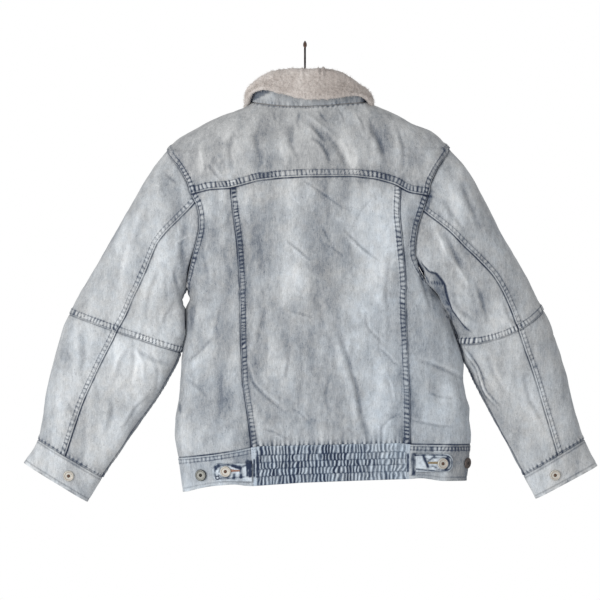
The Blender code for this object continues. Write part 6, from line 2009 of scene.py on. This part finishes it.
# ---------------------------------------------------------------- floor, light and camera
def build_stage():
    mesh = bpy.data.meshes.new("floor")
    s = 1.8
    mesh.from_pydata([(-s, -s, -1.45), (s, -s, -1.45), (s, s, -1.45), (-s, s, -1.45)], [], [(0, 1, 2, 3)])
    floor = bpy.data.objects.new("floor", mesh)
    bpy.context.scene.collection.objects.link(floor)
    m = Nodes("floor_pale", Roughness=0.9, Specular_IOR_Level=0.1)
    m.shader.inputs["Base Color"].default_value = (0.9, 0.9, 0.9, 1)
    mesh.materials.append(m.mat)
    world = bpy.data.worlds.new("studio")
    world.use_nodes = True
    tree = world.node_tree
    bg = tree.nodes["Background"]
    bg.inputs["Color"].default_value = (0.98, 0.99, 1.0, 1)
    bg.inputs["Strength"].default_value = WORLD
    seen = tree.nodes.new("ShaderNodeBackground")
    seen.inputs["Color"].default_value = (1, 1, 1, 1)
    seen.inputs["Strength"].default_value = 1.0
    ways = tree.nodes.new("ShaderNodeLightPath")
    pick = tree.nodes.new("ShaderNodeMixShader")
    tree.links.new(ways.outputs["Is Camera Ray"], pick.inputs[0])
    tree.links.new(bg.outputs[0], pick.inputs[1])
    tree.links.new(seen.outputs[0], pick.inputs[2])
    tree.links.new(pick.outputs[0], tree.nodes["World Output"].inputs["Surface"])
    bpy.context.scene.world = world
    for name, where, size, power, colour in LIGHTS:
        light = bpy.data.lights.new(name, "AREA")
        light.shape = "DISK"
        light.size = size
        light.energy = power
        light.color = colour
        obj = bpy.data.objects.new(name, light)
        obj.location = where
        aim = np.array([0.0, 0.0, -0.4]) - np.array(where)
        obj.rotation_mode = "QUATERNION"
        from mathutils import Vector
        obj.rotation_quaternion = Vector(aim).to_track_quat("-Z", "Y")
        bpy.context.scene.collection.objects.link(obj)
    cam = bpy.data.cameras.new("camera")
    cam.sensor_width = 36.0
    distance = 8.0                     # far off, so that near and far edges keep one scale
    back = 0.03
    cam.lens = 36.0 * distance / (600 * PX * MM)
    obj = bpy.data.objects.new("camera", cam)
    obj.location = ((X0 - 300) * PX * MM, distance + back, (Y0 - 300) * PX * MM)
    obj.rotation_euler = (math.radians(90), 0, math.radians(180))
    cam.clip_start, cam.clip_end = 0.05, 50
    cam.dof.use_dof = False
    bpy.context.scene.collection.objects.link(obj)
    bpy.context.scene.camera = obj
    bpy.context.scene.view_settings.view_transform = "Standard"
    bpy.context.scene.view_settings.look = "None"


WORLD = 0.62
LIGHTS = (("key", (2.2, 2.2, -0.1), 1.3, 38.0, (1.0, 0.995, 0.985)),
          ("low", (0.3, 2.6, -1.2), 1.4, 10.0, (0.97, 0.985, 1.0)))


build_panels()
build_placket()
build_sleeves()
build_waist()
build_tabs()
build_buttons()
build_collar()
build_hanger()
build_stitches()
build_stage()

# ---------------------------------------------------------------- what each piece is
# the cut of each piece: width, length, area of the cut, how it is held, what it lies on
CUT = {
    "back_yoke": (0.475, 0.251, 0.0541, "hung", "hanger_body"),
    "back_center": (0.271, 0.425, 0.1082, "hung", "back_yoke"),
    "back_side_L": (0.141, 0.439, 0.0429, "hung", "back_yoke"),
    "back_side_R": (0.118, 0.432, 0.0311, "hung", "back_yoke"),
    "front_L": (0.225, 0.685, 0.1016, "hung", "hanger_body"),
    "front_R": (0.247, 0.678, 0.1061, "hung", "hanger_body"),
    "placket": (0.040, 0.472, 0.0185, "hung", "front_L"),
    "sleeve_upper_top_L": (0.390, 0.302, 0.0731, "hung", "back_yoke"),
    "sleeve_upper_under_L": (0.146, 0.243, 0.0162, "hung", "back_side_L"),
    "sleeve_lower_top_L": (0.333, 0.235, 0.0607, "hung", "sleeve_upper_top_L"),
    "sleeve_lower_under_L": (0.115, 0.234, 0.0222, "hung", "sleeve_upper_under_L"),
    "cuff_L": (0.294, 0.046, 0.0130, "hung", "sleeve_lower_top_L"),
    "sleeve_upper_top_R": (0.414, 0.298, 0.0683, "hung", "back_yoke"),
    "sleeve_upper_under_R": (0.138, 0.246, 0.0189, "hung", "back_side_R"),
    "sleeve_lower_top_R": (0.270, 0.234, 0.0521, "hung", "sleeve_upper_top_R"),
    "sleeve_lower_under_R": (0.104, 0.233, 0.0194, "hung", "sleeve_upper_under_R"),
    "cuff_R": (0.284, 0.047, 0.0124, "hung", "sleeve_lower_top_R"),
    "waistband_back_elastic": (0.344, 0.062, 0.0199, "gathered", "back_center"),
    "waistband_L": (0.356, 0.062, 0.0191, "hung", "front_L"),
    "waistband_R": (0.399, 0.059, 0.0222, "hung", "front_R"),
    "tab_L": (0.068, 0.029, 0.0017, "laid", "waistband_L"),
    "tab_R": (0.066, 0.028, 0.0017, "laid", "waistband_R"),
    "welt_L": (0.023, 0.141, 0.0030, "laid", "front_L"),
    "welt_R": (0.022, 0.145, 0.0030, "laid", "front_R"),
    "collar_sherpa": (0.111, 0.584, 0.0301, "folded", "collar_under"),
    "collar_under": (0.111, 0.584, 0.0301, "folded", "back_yoke"),
}
for name in list(CUT) + list(BUTTONS) + ["hanger_body", "hanger_hook"]:
    obj = bpy.data.objects["look_" + name]
    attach(obj, "root")
    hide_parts(name)
for name, slot in (("collar_fibres", "sherpa"), ("stitches", "denim"), ("buttonhole_L", "denim"), ("buttonhole_R", "denim"),
                   ("eyelet_L", "denim")):
    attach(bpy.data.objects["look_" + name], "root")
